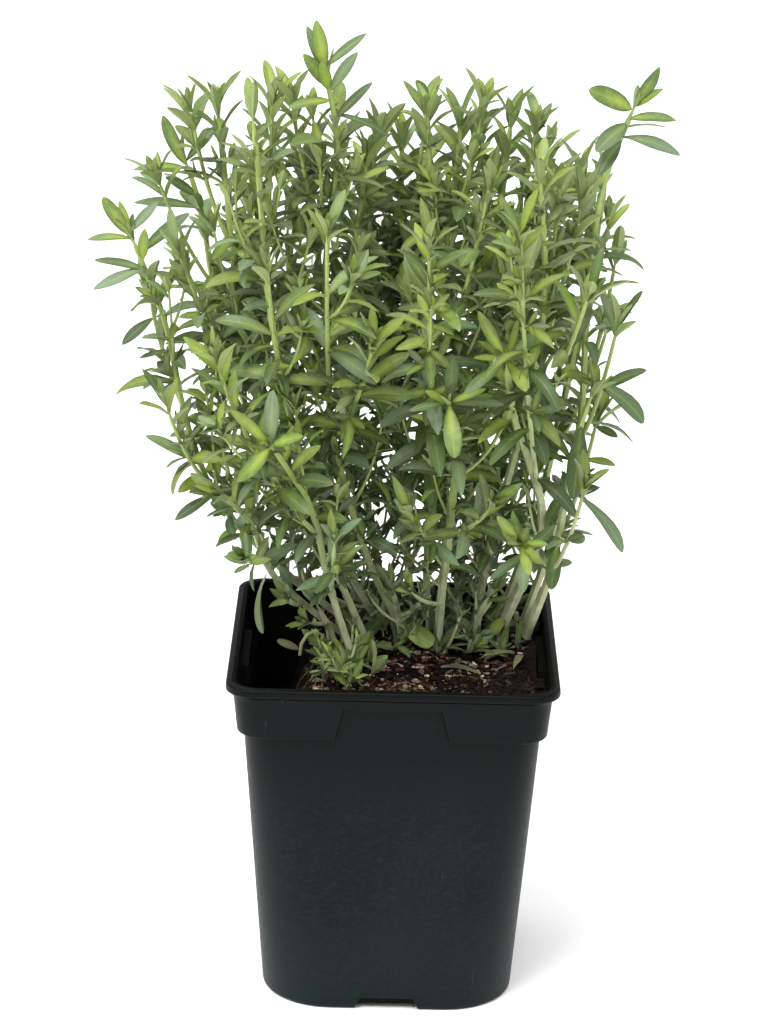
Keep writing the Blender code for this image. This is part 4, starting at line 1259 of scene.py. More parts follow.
def add_twig(
    growth, name, root, heading, outward, length, size, crowd, rng, lean=(28, 52), fresh=0.0
):
    """A leafy side shoot: it leaves the stem sideways, turns up and has crossed pairs to its tip.

    Says whether there was room for it."""
    size *= size_at(root.z)
    angle = math.radians(rng.uniform(*lean))
    away = heading * math.cos(angle) + outward * math.sin(angle)
    elbow = root + away * length * 0.5
    rise = (heading * 0.5 + Vector((0, 0, 0.5)) + away * 0.45).normalized()
    tip = elbow + rise * length * 0.55
    bend = [root.lerp(elbow, i / 8).lerp(elbow.lerp(tip, i / 8), i / 8) for i in range(9)]
    if not within_outline(tip) or not clears_pot_and_soil([(p, 1.2 * MM) for p in bend[2:]]):
        return False
    length = path_length(bend)
    path = [np.array(p) for p in resample(bend, 7)]
    radii = np.linspace(0.62, 0.4, 8) * MM
    wood = 0.75 * lowness(root.z)
    growth.add(tube_points(path, radii, 5), *skin(8, 5), look=0, wood=wood, tint=rng.random())
    turn = rng.uniform(0, math.pi)
    places = [length - 0.8 * MM, length - 3.6 * MM, length - 9 * MM]
    while places[-1] > 9 * MM:
        places.append(places[-1] - rng.uniform(7.5, 10.5) * MM)
    for level, place in enumerate(p for p in places if p > 2 * MM):
        base, direction = along(bend, place)
        age = min(1.0, level * 0.18)
        for side in range(2):
            for attempt in range(TWIG_TRIES):
                spread = rng.uniform(-0.3, 0.3) * (1 + attempt)
                aside = turned_outward(direction, turn + (level + 2 * side) * math.pi / 2 + spread)
                long = size * rng.uniform(0.8, 1.1) * (0.8 + 0.2 * min(level, 1))
                lean_out = math.radians(26 + 60 * age + rng.uniform(-8, 8))
                droop = math.radians(16 + 50 * age + rng.uniform(-8, 14))
                width = long * rng.uniform(0.23, 0.29)
                roll = math.radians(rng.uniform(-20, 20))
                leaf = Leaf(base, direction, aside, long, width, lean_out, droop, roll)
                balls = leaf_balls(leaf, 0.3, 0.0)
                if Sights.hidden_by(leaf):
                    continue
                if clears_pot_and_soil(balls) and crowd.is_free(name, balls, stems_only=True):
                    add_blade(growth, finish_blade(leaf, 0.92 - 0.7 * age, rng, fresh), MEDIUM)
                    break
            if level > 1 and rng.random() < 0.2:
                add_tuft(growth, base, direction, aside, 0.1, rng)
    add_bud(growth, *along(bend, length), turn, size, rng)
    return True


def add_side_growth(growth, name, place, outward, axis, length, is_main, crowd, rng):
    """What grows in the axil of a leaf: a twig, a tuft or nothing."""
    root, heading = along(axis.path, place)
    if is_bare(name, 0 if is_main else 1, place, length):
        return
    age = (length - place) / AGE_LENGTH
    share = TWIG_SHARE if is_main else TWIG_SHARE_SHOOT
    if root.y > HIND:
        share *= lerp(*HIND_TWIGS, smooth_step((root.z - HIND_FROM) / HIND_RISE))
    if rng.random() < share and age > 0.3:
        reach = rng.uniform(0.5, 1.0) * lerp(*TWIG_LENGTH, smooth_step(age * 1.6))
        size = rng.uniform(*TWIG_LEAF)
        if add_twig(growth, name, root, heading, outward, reach, size, crowd, rng):
            return
    if rng.random() < TUFT_SHARE * smooth_step(age * 7):
        add_tuft(growth, root, heading, outward, age, rng)


def add_basal_growth(growth, name, axis, crowd, rng):
    """Short leafy twigs that stand out low on a stem, just above the soil."""
    place = HOLE_DEPTH + 4 * MM
    while place < BARE_ABOVE_SOIL:
        root, heading = along(axis.path, place)
        share, longest = BASAL_BEHIND if root.y > HIND else BASAL_FRONT
        for _ in range(2):
            if rng.random() < share and not is_bare(name, 0, place, 1.0):
                outward = turned_outward(heading, rng.uniform(0, 2 * math.pi))
                reach, size = rng.uniform(9, longest) * MM, rng.uniform(7, 11) * MM
                add_twig(growth, name, root, heading, outward, reach, size, crowd, rng, BASAL_LEAN)
        place += rng.uniform(4, 7) * MM


def add_stem(growth, axis, is_main, nodes, pale_below, girth):
    """A stem with a swelling at each node, squarish, and woody towards its foot."""
    length = path_length(axis.path)
    rings = max(6, int(length / RING_SPACING))
    path = resample(axis.path, rings - 1)
    thick, thin = VISIBLE_STEM if is_main else VISIBLE_SHOOT
    distance = np.linspace(0, length, rings)
    radii = (thick + (thin - thick) * (distance / length) ** 0.8) * girth
    for node in nodes:
        radii = radii * (1 + 0.22 * np.exp(-((distance - node) / (1.3 * MM)) ** 2))
    end = np.clip((length - distance) / (6 * MM), 0.4, 1.0)
    heights = np.array([p.z for p in path])
    low = np.clip((pale_below - heights) / PALE_RISE, 0, 1)
    sides = STEM_SIDES if is_main else SHOOT_SIDES
    values = np.append(np.repeat(low, sides), [low[0], low[-1]])
    shade = 0.3 + 0.7 * np.random.default_rng(rings).random()
    points = tube_points(path, radii * end, sides, squareness=0.07 if is_main else 0.0)
    growth.add(points, *skin(rings, sides), look=0, wood=values, tint=shade)


def grown_leaf(placed, axis, length):
    """One of the model's own leaves, moved onto the smooth path and grown to its full size."""
    root, _ = along(axis.path, placed.share * length)
    leaf, size = placed.leaf, size_at(root.z)
    return leaf._replace(
        root=root,
        length=leaf.length * (LONGER * lerp(1.0, size, 0.85)),
        width=leaf.width * lerp(1.0, size, 0.7),
        lean=leaf.lean - TIP_RISE * (1 - smooth_step(placed.age * 8)),
    )


def make_foliage(name, axes, crowd, materials):
    """One plant: on each of its axes the leaves, what grows in their axils, a bud and the stem."""
    growth = Growth(*VALUES)
    fresh = FRESH_STEMS.get(name, 0.0)
    for index, axis in enumerate(axes):
        rng = random.Random(f"growth of {name} {index}")
        is_main = index == 0
        length = path_length(axis.path)
        filled = fill_leaves(name, index, axis, crowd, rng)
        for placed in axis.placed:
            if is_bare(name, index, placed.share * length, length):
                continue
            leaf = grown_leaf(placed, axis, length)
            if leaf.root.z < LOW_LEAVES and not within_outline(midrib(leaf, 0.7), LEAF_REACH):
                continue
            add_blade(growth, finish_blade(leaf, youth_of(placed.age), rng, fresh), FINE)
        for placed in filled:
            blade = finish_blade(placed.leaf, youth_of(placed.age), rng, fresh)
            add_blade(growth, blade, FINE)
        for placed in axis.placed + filled:
            place, outward = placed.share * length, placed.leaf.outward
            add_side_growth(growth, name, place, outward, axis, length, is_main, crowd, rng)
        if is_main:
            add_basal_growth(growth, name, axis, crowd, rng)
            for spec in SET_LEAVES.get(name, []):
                add_blade(growth, set_blade(spec, rng), FINE)
        add_bud(growth, *along(axis.path, length), axis.turn, BUD_SIZE, rng)
        nodes = sorted({placed.share * length for placed in axis.placed + filled})
        girth = STOUT_STEMS.get(name, 1.0) if is_main else 1.0
        add_stem(growth, axis, is_main, nodes, PALE_HIGHER.get(name, PALE_BELOW), girth)
    dress(growth.finish("leafy_" + name, materials), "savory", name)


def heading_at(turn):
    """A level direction at a turn about Z."""
    return Vector((math.cos(turn), math.sin(turn), 0))


def low_place(rng):
    """A place on the soil where small growth stands: among the stems and at the front left."""
    if rng.random() < FRONT_LEFT_SHARE:
        x, y = rng.uniform(-24, -8), rng.uniform(-28, 2)
    else:
        x, y = rng.uniform(-16, 42), rng.uniform(0, 46)
    root = Vector((x, y, 0)) * MM
    root.z = soil_height(root.x, root.y) - 0.5 * MM
    return root


def make_sprouts(crowd, materials):
    """Small leafy shoots and tufts that come up from the roots, apart from the stems."""
    growth = Growth(*VALUES)
    rng = random.Random("sprouts")
    grown = 0
    while grown < SPROUTS:
        root = low_place(rng)
        outward = heading_at(rng.uniform(0, 2 * math.pi))
        tilt = Vector((rng.uniform(-0.5, 0.5), rng.uniform(-0.5, 0.5), 1)).normalized()
        reach, size = rng.uniform(8, 16) * MM, rng.uniform(9, 13) * MM
        fresh = FRESH_SPROUT * (root.y < FRESH_BEFORE)
        grown += add_twig(
            growth, "sprouts", root, tilt, outward, reach, size, crowd, rng, SPROUT_LEAN, fresh
        )
    for _ in range(LOW_TUFTS):
        root, outward = low_place(rng), heading_at(rng.uniform(0, 2 * math.pi))
        fresh = FRESH_SPROUT * (root.y < FRESH_BEFORE)
        add_tuft(growth, root, Vector((0, 0, 1)), outward, 1.0, rng, fresh)
    dress(growth.finish("basal_sprouts", materials), "savory")


# Pot

def body_half(z):
    return lerp(BODY_HALF_BASE, BODY_HALF_TOP, z / LIP_BOTTOM)


def body_corner(z):
    return lerp(BODY_CORNER_BASE, BODY_CORNER_TOP, z / LIP_BOTTOM)


def collar_half(z):
    return lerp(COLLAR_HALF_BOTTOM, COLLAR_HALF_TOP, (z - COLLAR_BOTTOM) / (LIP_BOTTOM - COLLAR_BOTTOM))


def recess_half(z):
    share = (z - COLLAR_BOTTOM + WALL) / (RECESS_TOP - COLLAR_BOTTOM + WALL)
    return lerp(RECESS_HALF_BOTTOM, RECESS_HALF_TOP, min(1.0, max(0.0, share)))


# How far each column of a side stands from the recess's edge, and how far it has left the recess
RECESS_COLUMNS = [(-1.0, 0.0), (-0.45, 0.1), (0.0, 0.5), (0.45, 0.9), (1.0, 1.0)]


def wall_ring(z, half, corner, recess, recessed, closed):
    """A ring of the pot's wall: a rounded square whose middles stand back to recessed."""
    straight = half - corner
    side = [(0.0, 0.0), (recess * 0.5, 0.0)]
    side += [(recess + EDGE_SOFT * off, share) for off, share in RECESS_COLUMNS]
    side += [(lerp(recess + EDGE_SOFT, straight, 0.5), 1.0), (straight, 1.0)]
    run = [(-u, share) for u, share in reversed(side[1:])] + side
    points = []
    for quarter in range(4):
        turn = Matrix.Rotation(quarter * math.pi / 2, 3, "Z")
        for u, share in run:
            depth = lerp(recessed, half, max(share, closed))
            points.append(turn @ Vector((u, -depth, z)))
        for step in range(1, CORNER_STEPS):
            angle = step / CORNER_STEPS * math.pi / 2
            x, y = straight + corner * math.sin(angle), -straight - corner * math.cos(angle)
            points.append(turn @ Vector((x, y, z)))
    return points


def body_ring(z, inset):
    """A plain ring of the pot's body at height z, drawn in by inset."""
    half = body_half(z) - inset
    return wall_ring(z, half, body_corner(z) - inset, recess_half(z), half, 1.0)


def outer_rings():
    """The outside of the pot from its base up to the lip."""
    rings = []
    for angle in (0.0, 22.5, 45.0, 67.5):
        inset = FOOT_ROUND * (1 - math.sin(math.radians(angle)))
        rings.append(body_ring(FOOT_ROUND * (1 - math.cos(math.radians(angle))), inset))
    top = COLLAR_BOTTOM - 0.7 * MM
    rings += [body_ring(lerp(FOOT_ROUND, top, step / 12), 0.0) for step in range(13)]
    return rings + collar_rings(0.0)


# The step to the collar and the upper end of the recesses: how high each ring lies above them in
# millimetres, and how far it has come out to the collar or closed the recess
COLLAR_STEP = [
    (-0.25, 0.04), (-0.05, 0.2), (0.0, 0.6), (0.12, 0.82), (0.35, 0.94), (0.8, 1.0), (4, 1.0), (8, 1.0),
]
RECESS_END = [(-0.14, 0.0), (-0.07, 0.12), (0.0, 0.5), (0.07, 0.88), (0.14, 1.0), (2.0, 1.0)]


def collar_rings(inset):
    """The step to the collar and the collar with its recesses, drawn in by inset."""
    bottom, top = COLLAR_BOTTOM + inset, RECESS_TOP + inset
    rings = [collar_ring(bottom + rise * MM, inset, share, 0.0) for rise, share in COLLAR_STEP]
    return rings + [collar_ring(top + rise * MM, inset, 1.0, closed) for rise, closed in RECESS_END]


def collar_ring(z, inset, share, closed):
    """A ring at a share of the way out from body to collar, its recesses closed by a share."""
    body, collar = body_half(z) - inset, collar_half(z) - inset
    corner = lerp(body_corner(z), COLLAR_CORNER, share) - inset
    return wall_ring(z, lerp(body, collar, share), corner, recess_half(z) + inset, body, closed)


def lip_rings():
    """The lip: out from the collar, round its edge, over the top and down inside."""
    rings = []
    under = collar_half(LIP_BOTTOM)
    profile = [(LIP_BOTTOM - 0.9 * MM, under), (LIP_BOTTOM - 0.55 * MM, under - 0.3 * MM)]
    profile += [(LIP_BOTTOM - 0.1 * MM, under - 0.3 * MM), (LIP_BOTTOM, under + 0.2 * MM)]
    for degrees in range(-90, 91, 30):
        angle = math.radians(degrees)
        middle = LIP_BOTTOM + LIP_ROUND if degrees <= 0 else POT_HEIGHT - LIP_ROUND
        edge = LIP_HALF - LIP_ROUND * (1 - math.cos(angle))
        profile.append((middle + LIP_ROUND * math.sin(angle), edge))
    inner = collar_half(LIP_BOTTOM) - WALL
    profile += [(POT_HEIGHT, inner + 1.5 * MM), (POT_HEIGHT - 0.12 * MM, inner + 0.4 * MM)]
    profile += [(POT_HEIGHT - 0.5 * MM, inner + 0.1 * MM), (POT_HEIGHT - 1.2 * MM, inner)]
    for z, half in profile:
        share = (half - inner) / (LIP_HALF - inner)
        corner = lerp(COLLAR_CORNER - WALL, LIP_CORNER, share)
        rings.append(wall_ring(z, half, corner, RECESS_HALF_TOP, half, 1.0))
    return rings


def inner_rings():
    """The inside of the pot from the lip down to the floor."""
    body = [body_ring(lerp(COLLAR_BOTTOM, FLOOR, step / 5), WALL) for step in range(6)]
    return collar_rings(WALL)[::-1] + body


def prism(name, outline, near, far, turn, collection):
    """An outline in X and Z, drawn from Y = near to Y = far and turned about Z."""
    bm = bmesh.new()
    face = bm.faces.new([bm.verts.new((x, near, z)) for x, z in outline])
    drawn = bmesh.ops.extrude_face_region(bm, geom=[face])["geom"]
    moved = [v for v in drawn if isinstance(v, bmesh.types.BMVert)]
    bmesh.ops.translate(bm, verts=moved, vec=(0, far - near, 0))
    bmesh.ops.rotate(bm, verts=bm.verts, matrix=Matrix.Rotation(turn, 3, "Z"))
    bmesh.ops.recalc_face_normals(bm, faces=bm.faces)
    add_object(name, mesh_of(name, bm), collection)


def channel_outline(grow, below):
    """The outline of a drainage channel, with rounded upper corners."""
    outline = [(CHANNEL_HALF_BOTTOM + grow, below)]
    x = CHANNEL_HALF_TOP + grow - CHANNEL_ROUND
    z = CHANNEL_HEIGHT + grow - CHANNEL_ROUND
    for angle in (15, 40, 65, 90):
        turn = math.radians(angle)
        outline.append((x + CHANNEL_ROUND * math.cos(turn), z + CHANNEL_ROUND * math.sin(turn)))
    return [(-x, z) for x, z in outline] + outline[::-1]


def cut(obj, operation, collection):
    modifier = obj.modifiers.new(operation.title(), "BOOLEAN")
    modifier.operation = operation
    modifier.solver = "EXACT"
    modifier.operand_type = "COLLECTION"
    modifier.collection = collection


def pot_tools():
    """What is added to the pot over its drainage channels, and what is cut out for them."""
    covers, tools = (bpy.data.collections.new(name) for name in ("pot_covers", "pot_tools"))
    side, reach = -BODY_HALF_BASE, -BODY_HALF_BASE + CHANNEL_LENGTH
    cover, channel = channel_outline(WALL, FLOOR / 2), channel_outline(0.0, -FLOOR)
    half, low, top = SLOT_LENGTH / 2, CHANNEL_HEIGHT / 2, CHANNEL_HEIGHT + 2 * WALL
    slot = [(-half, low), (half, low), (half, top), (-half, top)]
    near = side + SLOT_FROM_SIDE
    for index in range(4):
        turn = index * math.pi / 2
        prism(f"cover_{index}", cover, side + WALL / 2, reach + WALL, turn, covers)
        prism(f"channel_{index}", channel, -LIP_HALF, reach, turn, tools)
        prism(f"slot_{index}", slot, near, near + SLOT_WIDTH, turn, tools)
    return covers, tools


def make_pot(plastic, inside_shade):
    """The pot's wall as one skin of rings, with its drainage channels and slots cut in."""
    outside, inside = outer_rings() + lip_rings(), inner_rings()
    bm = bmesh.new()
    loops = [[bm.verts.new(point) for point in ring] for ring in outside + inside]
    count = len(loops[0])
    for level, (low, high) in enumerate(zip(loops, loops[1:])):
        for i in range(count):
            j = (i + 1) % count
            face = bm.faces.new((low[i], low[j], high[j], high[i]))
            # Faces from the lip's inner side down take the second material, painted near black as shade.
            face.material_index = int(level >= len(outside) - INSIDE_OF_LIP)
    bm.faces.new(loops[0][::-1])
    bm.faces.new(loops[-1]).material_index = 1
    mesh = mesh_of("moulded_pot", bm)
    mesh.materials.append(plastic)
    mesh.materials.append(inside_shade)
    pot = add_object("moulded_pot", mesh)
    covers, tools = pot_tools()
    cut(pot, "UNION", covers)
    cut(pot, "DIFFERENCE", tools)
    graph = bpy.context.evaluated_depsgraph_get()
    finished = bpy.data.meshes.new_from_object(pot.evaluated_get(graph))
    pot.modifiers.clear()
    pot.data = finished
    for collection in (tools, covers):
        for obj in list(collection.objects):
            bpy.data.objects.remove(obj, do_unlink=True)
        bpy.data.collections.remove(collection)
    finished.polygons.foreach_set("use_smooth", np.ones(len(finished.polygons), bool))
    finished.set_sharp_from_angle(angle=math.radians(50))
    pot.modifiers.new("Weighted", "WEIGHTED_NORMAL").keep_sharp = True
    dress(pot, "pot_plastic", "pot")


# Soil

SOIL_CELLS = 104
SOIL_BANK = 4.5 * MM

# Clods: how fine each layer of noise is, and how high in millimetres
CLODS = [(0.22, 1.3), (0.55, 0.7), (1.3, 0.35)]

# Heights of the root ball's side, from the bottom of the collar, in millimetres
SIDE_LEVELS = (1.8, 1.2, -20, -60)

# Bits on the soil, with the fibres that hang at its left edge and how far they run
CORNER_ROOM = 8 * MM
CRUMBS = 4200
CHIPS = 720
FIBRES = 40
EDGE_FIBRES = 24
FIBRE_STEP = 1.1 * MM
FIBRE_LIMIT = 46 * MM


def inner_reach(aside, z):
    """How far the soil may reach to a side of the pot, at a distance aside from its middle."""
    body = body_half(z) - WALL - GAP
    if z < COLLAR_BOTTOM + WALL + GAP:
        return body
    collar = collar_half(z) - WALL - GAP
    edge = recess_half(z) + WALL + 2 * GAP
    leave = smooth_step((abs(aside) - edge) / (1.5 * MM)) if z < RECESS_TOP + WALL + 2 * GAP else 1.0
    return lerp(body, collar, leave)


def pot_place(u, v, z):
    """The point at height z for u and v from -1 to 1, inside the pot's round corners."""
    body = body_half(z) - WALL - GAP
    x, y = u * body, v * body
    x, y = u * inner_reach(y, z), v * inner_reach(x, z)
    corner = body_corner(z) - WALL
    straight = body - corner
    dx, dy = abs(x) - straight, abs(y) - straight
    if dx > 0 and dy > 0:
        pull = max(dx, dy) / math.hypot(dx, dy)
        x = math.copysign(straight + dx * pull, x)
        y = math.copysign(straight + dy * pull, y)
    return x, y, z


def soil_place(u, v):
    """The soil surface's point for u and v from -1 to 1."""
    guess = Vector((u, v)) * BODY_HALF_TOP
    return pot_place(u, v, soil_height(guess.x, guess.y))


def clod_noise(x, y):
    """What the scene adds to the soil's height: clods, and a bank along the right wall."""
    spot = Vector((x, y, 0.0)) / MM
    rough = sum(noise.noise(spot * scale) * height for scale, height in CLODS)
    bank = smooth_step((x / MM - 36) / 12) * smooth_step((y / MM + 26) / 14) * SOIL_BANK
    return rough * MM + bank


def ground(x, y):
    """The height of the scene's soil."""
    return soil_height(x, y) + clod_noise(x, y)


def make_root_ball(peat):
    """The root ball: a lumpy top on a plain body that fills the pot."""
    growth = Growth("tint")
    size = SOIL_CELLS + 1
    top = []
    for j in range(size):
        for i in range(size):
            u, v = 2 * i / SOIL_CELLS - 1, 2 * j / SOIL_CELLS - 1
            x, y, z = soil_place(u, v)
            top.append((x, y, z + clod_noise(x, y)))
    top = np.array(top)
    border = list(range(size)) + [size * (j + 1) - 1 for j in range(1, size)]
    border += [size * size - 1 - i for i in range(1, size)]
    border += [size * (size - 1 - j) for j in range(1, size - 1)]
    quads = []
    for j in range(SOIL_CELLS):
        for i in range(SOIL_CELLS):
            a = j * size + i
            quads.append((a, a + 1, a + size + 1, a + size))
    skirt = []
    levels = [COLLAR_BOTTOM + value * MM for value in SIDE_LEVELS] + [FLOOR + GAP]
    for number, level in enumerate(levels, 1):
        for index in border:
            u, v = 2 * (index % size) / SOIL_CELLS - 1, 2 * (index // size) / SOIL_CELLS - 1
            low = max(FLOOR + GAP, min(level, top[index][2] - 1.5 * MM * number))
            skirt.append(pot_place(u, v, low))
    count = len(border)
    loops = [border] + [[len(top) + k * count + i for i in range(count)] for k in range(len(levels))]
    for high, low in zip(loops, loops[1:]):
        for i in range(count):
            j = (i + 1) % count
            quads.append((high[i], low[i], low[j], high[j]))
    centre = len(top) + len(skirt)
    triangles = [(loops[-1][(i + 1) % count], loops[-1][i], centre) for i in range(count)]
    points = np.concatenate([top, np.array(skirt), [(0.0, 0.0, FLOOR + GAP)]])
    shades = np.array([0.25 + 0.3 * noise.noise(Vector(p) / (2.2 * MM)) for p in points])
    # Painted shade: soil more than 8 mm below the highest level, on the low part at the left and down the
    # sides, is darkened.
    shades = np.where(points[:, 2] < SOIL_HIGH - 8 * MM, shades * 0.4, shades)
    growth.add(points, np.array(quads), np.array(triangles), tint=np.clip(shades, 0, 1))
    dress(growth.finish("root_ball", [peat], sharp=60), "soil", "soil")


def icosphere():
    bm = bmesh.new()
    bmesh.ops.create_icosphere(bm, subdivisions=1, radius=1.0)
    bm.verts.index_update()
    points = np.array([v.co for v in bm.verts])
    faces = np.array([[v.index for v in face.verts] for face in bm.faces])
    bm.free()
    return points, faces


def scatter_spot(rng, margin):
    """A random place on the soil, inside the pot and off the low part at the left."""
    while True:
        x = rng.uniform(SOIL_EDGE_X, BODY_HALF_TOP - margin)
        y = rng.uniform(-BODY_HALF_TOP + margin, BODY_HALF_TOP - margin)
        reach = min(inner_reach(y, SOIL_HIGH), BODY_HALF_TOP) - margin
        deep = min(inner_reach(x, SOIL_HIGH), BODY_HALF_TOP) - margin
        past = (max(0, abs(x) - reach + CORNER_ROOM), max(0, abs(y) - deep + CORNER_ROOM))
        if abs(x) < reach and abs(y) < deep and math.hypot(*past) < CORNER_ROOM:
            return x, y


def painted_corner_shade(x, y):
    """How pale the bits on the soil are: a little paler in the middle of the front, and darker in the front
    right corner as painted shade.
    """
    return lerp(1.1, 0.72, smooth_step((x / MM - 28) / 12) * smooth_step((-y / MM - 4) / 16))


def random_turn(draw, *leans):
    """A random turn about Z, then a random lean about each given axis within its limit."""
    turn = Matrix.Rotation(draw.uniform(0, 6.28), 3, "Z")
    for axis, limit in leans:
        turn = turn @ Matrix.Rotation(draw.uniform(-limit, limit), 3, axis)
    return np.array(turn).T


def make_crumbs(peat):
    """Loose crumbs on the root ball."""
    growth = Growth("tint")
    ball, faces = icosphere()
    rng = np.random.default_rng(5)
    draw = random.Random("crumbs")
    no_quads = np.zeros((0, 4), int)
    for _ in range(CRUMBS):
        x, y = scatter_spot(draw, 2.2 * MM)
        size = (0.35 + 1.15 * draw.random() ** 3) * MM
        scale = np.array([draw.uniform(0.8, 2.0), draw.uniform(0.7, 1.1), draw.uniform(0.35, 0.7)])
        shape = ball * (1 + rng.uniform(-0.28, 0.28, (len(ball), 1))) * scale * size
        turn = random_turn(draw, ("X", 0.6))
        z = ground(x, y) + size * draw.uniform(-0.1, 0.35)
        # Darkened in the front right corner: painted shade.
        tint = min(1.0, draw.random() ** 1.1 * painted_corner_shade(x, y))
        growth.add(shape @ turn + (x, y, z), no_quads, faces, tint=tint)
    dress(growth.finish("soil_crumbs", [peat], sharp=20), "soil")


def make_chips(peat):
    """Flat splinters of bark and wood that lie in the soil."""
    growth = Growth("tint")
    draw = random.Random("chips")
    sides = [(0, 1, 5, 4), (1, 2, 6, 5), (2, 3, 7, 6), (3, 0, 4, 7), (4, 5, 6, 7), (3, 2, 1, 0)]
    quads, no_triangles = np.array(sides), np.zeros((0, 3), int)
    for _ in range(CHIPS):
        x, y = scatter_spot(draw, 4.2 * MM)
        length, width = draw.uniform(1.2, 4.6) * MM, draw.uniform(0.4, 1.2) * MM
        thick = draw.uniform(0.25, 0.7) * MM
        corners = [(-length, -width * draw.uniform(0.3, 1)), (length, -width * draw.uniform(0.3, 1))]
        corners += [(length * draw.uniform(0.6, 1), width), (-length * draw.uniform(0.6, 1), width)]
        points = np.array([(a / 2, b / 2, c) for c in (-thick / 2, thick / 2) for a, b in corners])
        turn = random_turn(draw, ("Y", 0.35), ("X", 0.5))
        z = ground(x, y) + draw.uniform(0.1, 0.8) * MM
        # Darkened in the front right corner: painted shade.
        tint = min(1.0, (0.4 + 0.6 * draw.random()) * painted_corner_shade(x, y))
        growth.add(points @ turn + (x, y, z), quads, no_triangles, tint=tint)
    dress(growth.finish("bark_chips", [peat], sharp=30), "soil")


def make_fibres(fibre):
    """Thin roots that lie on the soil and hang from the root ball's left edge."""
    growth = Growth("tint")
    draw = random.Random("fibres")
    for index in range(FIBRES):
        if index < EDGE_FIBRES:
            x, y = SOIL_EDGE_X + draw.uniform(-1, 5) * MM, draw.uniform(-44, -8) * MM
        else:
            x, y = scatter_spot(draw, 9 * MM)
        angle = draw.uniform(0, 6.28)
        path = []
        for step in range(9):
            path.append(np.array((x, y, ground(x, y) + (0.6 + 0.4 * math.sin(step * 1.3)) * MM)))
            angle += draw.uniform(-0.7, 0.7)
            x += FIBRE_STEP * math.cos(angle)
            y += FIBRE_STEP * math.sin(angle)
            y = min(FIBRE_LIMIT, max(-FIBRE_LIMIT, y))
        radius = draw.uniform(0.08, 0.2) * MM
        radii = [radius * (1 - 0.07 * i) for i in range(9)]
        growth.add(tube_points(path, radii, 5), *skin(9, 5), tint=draw.random())
    dress(growth.finish("root_fibres", [fibre]), "soil")


# Shed leaves

FALLEN_LEAVES = [(36, -2, 20), (22, -15, 160), (42, -12, 75)]


def make_fallen_leaves(material):
    """Curled leaves on the soil, where the model's own lie."""
    for index, (x, y, heading) in enumerate(FALLEN_LEAVES, 1):
        rng = random.Random(f"fallen {index}")
        growth = Growth(*VALUES)
        direction = Matrix.Rotation(math.radians(heading), 3, "Z") @ Vector((1, 0, 0))
        length = LEAF_LENGTH[0]
        start = Vector((x, y, 0)) * MM - direction * length / 2
        spots = [start + direction * length * share for share in (0, 0.25, 0.5, 0.75, 1)]
        level = max(ground(p.x, p.y) for p in spots) + 0.9 * MM
        root = start + Vector((0, 0, level))
        lean, droop, roll = (math.radians(angle) for angle in (74, 34, 12))
        leaf = Leaf(root, Vector((0, 0, 1)), direction, length, length * 0.2, lean, droop, roll)
        blade = finish_blade(leaf, rng.uniform(0.0, 0.5), rng)
        add_blade(growth, blade._replace(fold=math.radians(44), ripple=0.25), FINE, look=0)
        dress(growth.finish(f"shed_leaf_{index}", [material]), "shed_leaf", f"fallen_leaf_{index}")


# Dead stalks and curled dead leaves at the foot of the plants, in millimetres
WITHERED_STALK = [(-24, 0, 119), (-27, -1, 121), (-29.5, -2, 120), (-31.3, -3, 117), (-31.8, -3, 113)]
WITHERED_STUB = [(42.5, 26, 108), (42.4, 25.8, 112), (42.6, 25.6, 116), (42.4, 25.4, 119.5)]
WITHERED_LEAVES = [
    SetLeaf((-31.8, -3, 115.0), (-39.6, -4, 118.5), 2.8, 30, (0.2, 0.9, -0.6), 0.7, 0.5, 1.0, 0.6),
    SetLeaf((38, 9, 123), (29.8, 12, 114), 2.4, 96, (-1, 0, 0.2), 0.9, 0.9, 0.8, 0.6),
    SetLeaf((-22, -12, 114), (-24, -16, 124), 2.0, 80, (1, 0.2, 0), 0.9, 0.9, 0.8, 0.6),
    SetLeaf((-15, -14, 115), (-6, -17, 113), 1.8, 60, (0, 0.3, -1), 0.9, 0.9, 0.8, 0.6),
]
HOOKS = 12
HOOK_LENGTH = 8


def make_withered_bits(bark, dry):
    """Pale dead stalks and curled dead leaves at the foot of the plants."""
    growth = Growth(*VALUES)
    rng = random.Random("withered")
    for path, radius in ((WITHERED_STALK, 0.6 * MM), (WITHERED_STUB, 0.9 * MM)):
        count = len(path)
        points = tube_points([np.array(p) * MM for p in path], [radius] * count, 6)
        growth.add(points, *skin(count, 6), look=0, wood=1.0, tint=0.5)
    for spec in WITHERED_LEAVES:
        add_blade(growth, set_blade(spec, rng), FINE)
    for _ in range(HOOKS):
        start = (low_place(rng) + Vector((0, 0, 1.5 * MM))) / MM
        reach = heading_at(rng.uniform(0, 2 * math.pi)) * HOOK_LENGTH
        reach.z = rng.uniform(-1, 7)
        bend, width = rng.uniform(50, 110), rng.uniform(1.2, 2.2)
        spec = SetLeaf(start, start + reach, width, bend, (0, 0, -1), 0.9, 0.9, rng.random(), 0.6)
        blade = set_blade(spec, rng)
        if clears_pot_and_soil(leaf_balls(blade.leaf, 0.3, 0.0)):
            add_blade(growth, blade, COARSE)
    dress(growth.finish("withered_bits", [bark, dry]), "shed_leaf")


# Camera, light and floor

# Soft lights: name, place, size in metres and power in watts
SOFTBOXES = [
    ("key_light", (-0.5, -0.8, 1.4), 0.7, 18.0),
    ("fill_light", (0.9, -0.7, 0.8), 0.8, 2.0),
    ("strip_light", (-1.1, -0.45, 0.25), 0.35, 2.0),
]
LIGHT_TARGET = Vector((0, 0, 0.2))
WORLD_STRENGTH = 0.66
SUN_STRENGTH = 2.9
SUN_SPREAD = math.radians(70)
SUN_TURN = (math.radians(8), math.radians(-5), 0)
FLOOR_HALF = 8.0


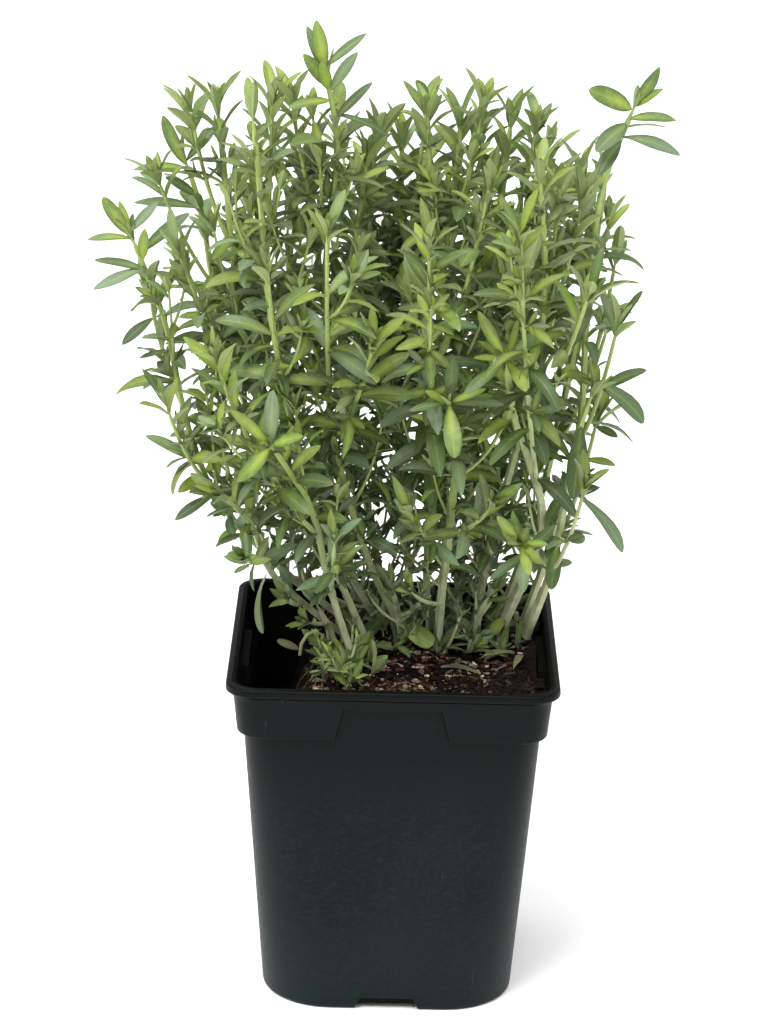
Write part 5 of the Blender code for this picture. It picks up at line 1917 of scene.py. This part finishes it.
def set_camera():
    camera = bpy.data.cameras.new("camera")
    camera.lens = CAMERA_LENS
    camera.sensor_width = CAMERA_SENSOR
    obj = add_object("camera", camera)
    obj.location = CAMERA_PLACE
    turn = Matrix.Rotation(math.radians(90 - CAMERA_ELEVATION), 3, "X")
    turn = turn @ Matrix.Rotation(math.radians(CAMERA_ROLL), 3, "Z")
    obj.rotation_euler = turn.to_euler()
    bpy.context.scene.camera = obj


def set_studio():
    world = bpy.data.worlds.new("studio")
    world.use_nodes = True
    background = world.node_tree.nodes["Background"].inputs
    background["Color"].default_value = (1.0, 1.0, 1.0, 1.0)
    background["Strength"].default_value = WORLD_STRENGTH
    bpy.context.scene.world = world
    bpy.context.scene.view_settings.view_transform = "Standard"
    for name, place, size, power in SOFTBOXES:
        light = bpy.data.lights.new(name, "AREA")
        light.size = size
        light.energy = power
        obj = add_object(name, light)
        obj.location = place
        obj.rotation_euler = (Vector(place) - LIGHT_TARGET).to_track_quat("Z", "Y").to_euler()
    sky = bpy.data.lights.new("overhead", "SUN")
    sky.energy = SUN_STRENGTH
    sky.angle = SUN_SPREAD
    add_object("overhead", sky).rotation_euler = SUN_TURN
    bm = bmesh.new()
    bmesh.ops.create_grid(bm, x_segments=2, y_segments=2, size=FLOOR_HALF)
    floor = add_object("studio_floor", mesh_of("studio_floor", bm))
    floor.data.materials.append(floor_material())


# Leaves, living and dead: colours when old, when young and below, and what shines through them
LIVING = (srgb(98, 125, 62), srgb(170, 192, 78), srgb(148, 164, 132), (1.0, 1.0, 0.4, 1))
DEAD = (srgb(108, 102, 72), srgb(132, 130, 88), srgb(150, 152, 130), (1.0, 0.95, 0.6, 1))


def main():
    set_camera()
    set_studio()
    make_pot(plastic_material(), inside_shade_material())
    make_root_ball(peat_material("peat", 0.2))
    crumb = peat_material("crumbs", 0.9)
    make_crumbs(crumb)
    make_chips(crumb)
    make_fibres(fibre_material())
    leaf, bark = leaf_material("savory_leaf", *LIVING), stem_material()
    axes_of, crowd = plan_leaves()
    for name, axes in axes_of.items():
        make_foliage(name, axes, crowd, [bark, leaf])
    make_sprouts(crowd, [bark, leaf])
    dry = leaf_material("shed_leaf", *DEAD)
    make_fallen_leaves(dry)
    make_withered_bits(bark, dry)


main()
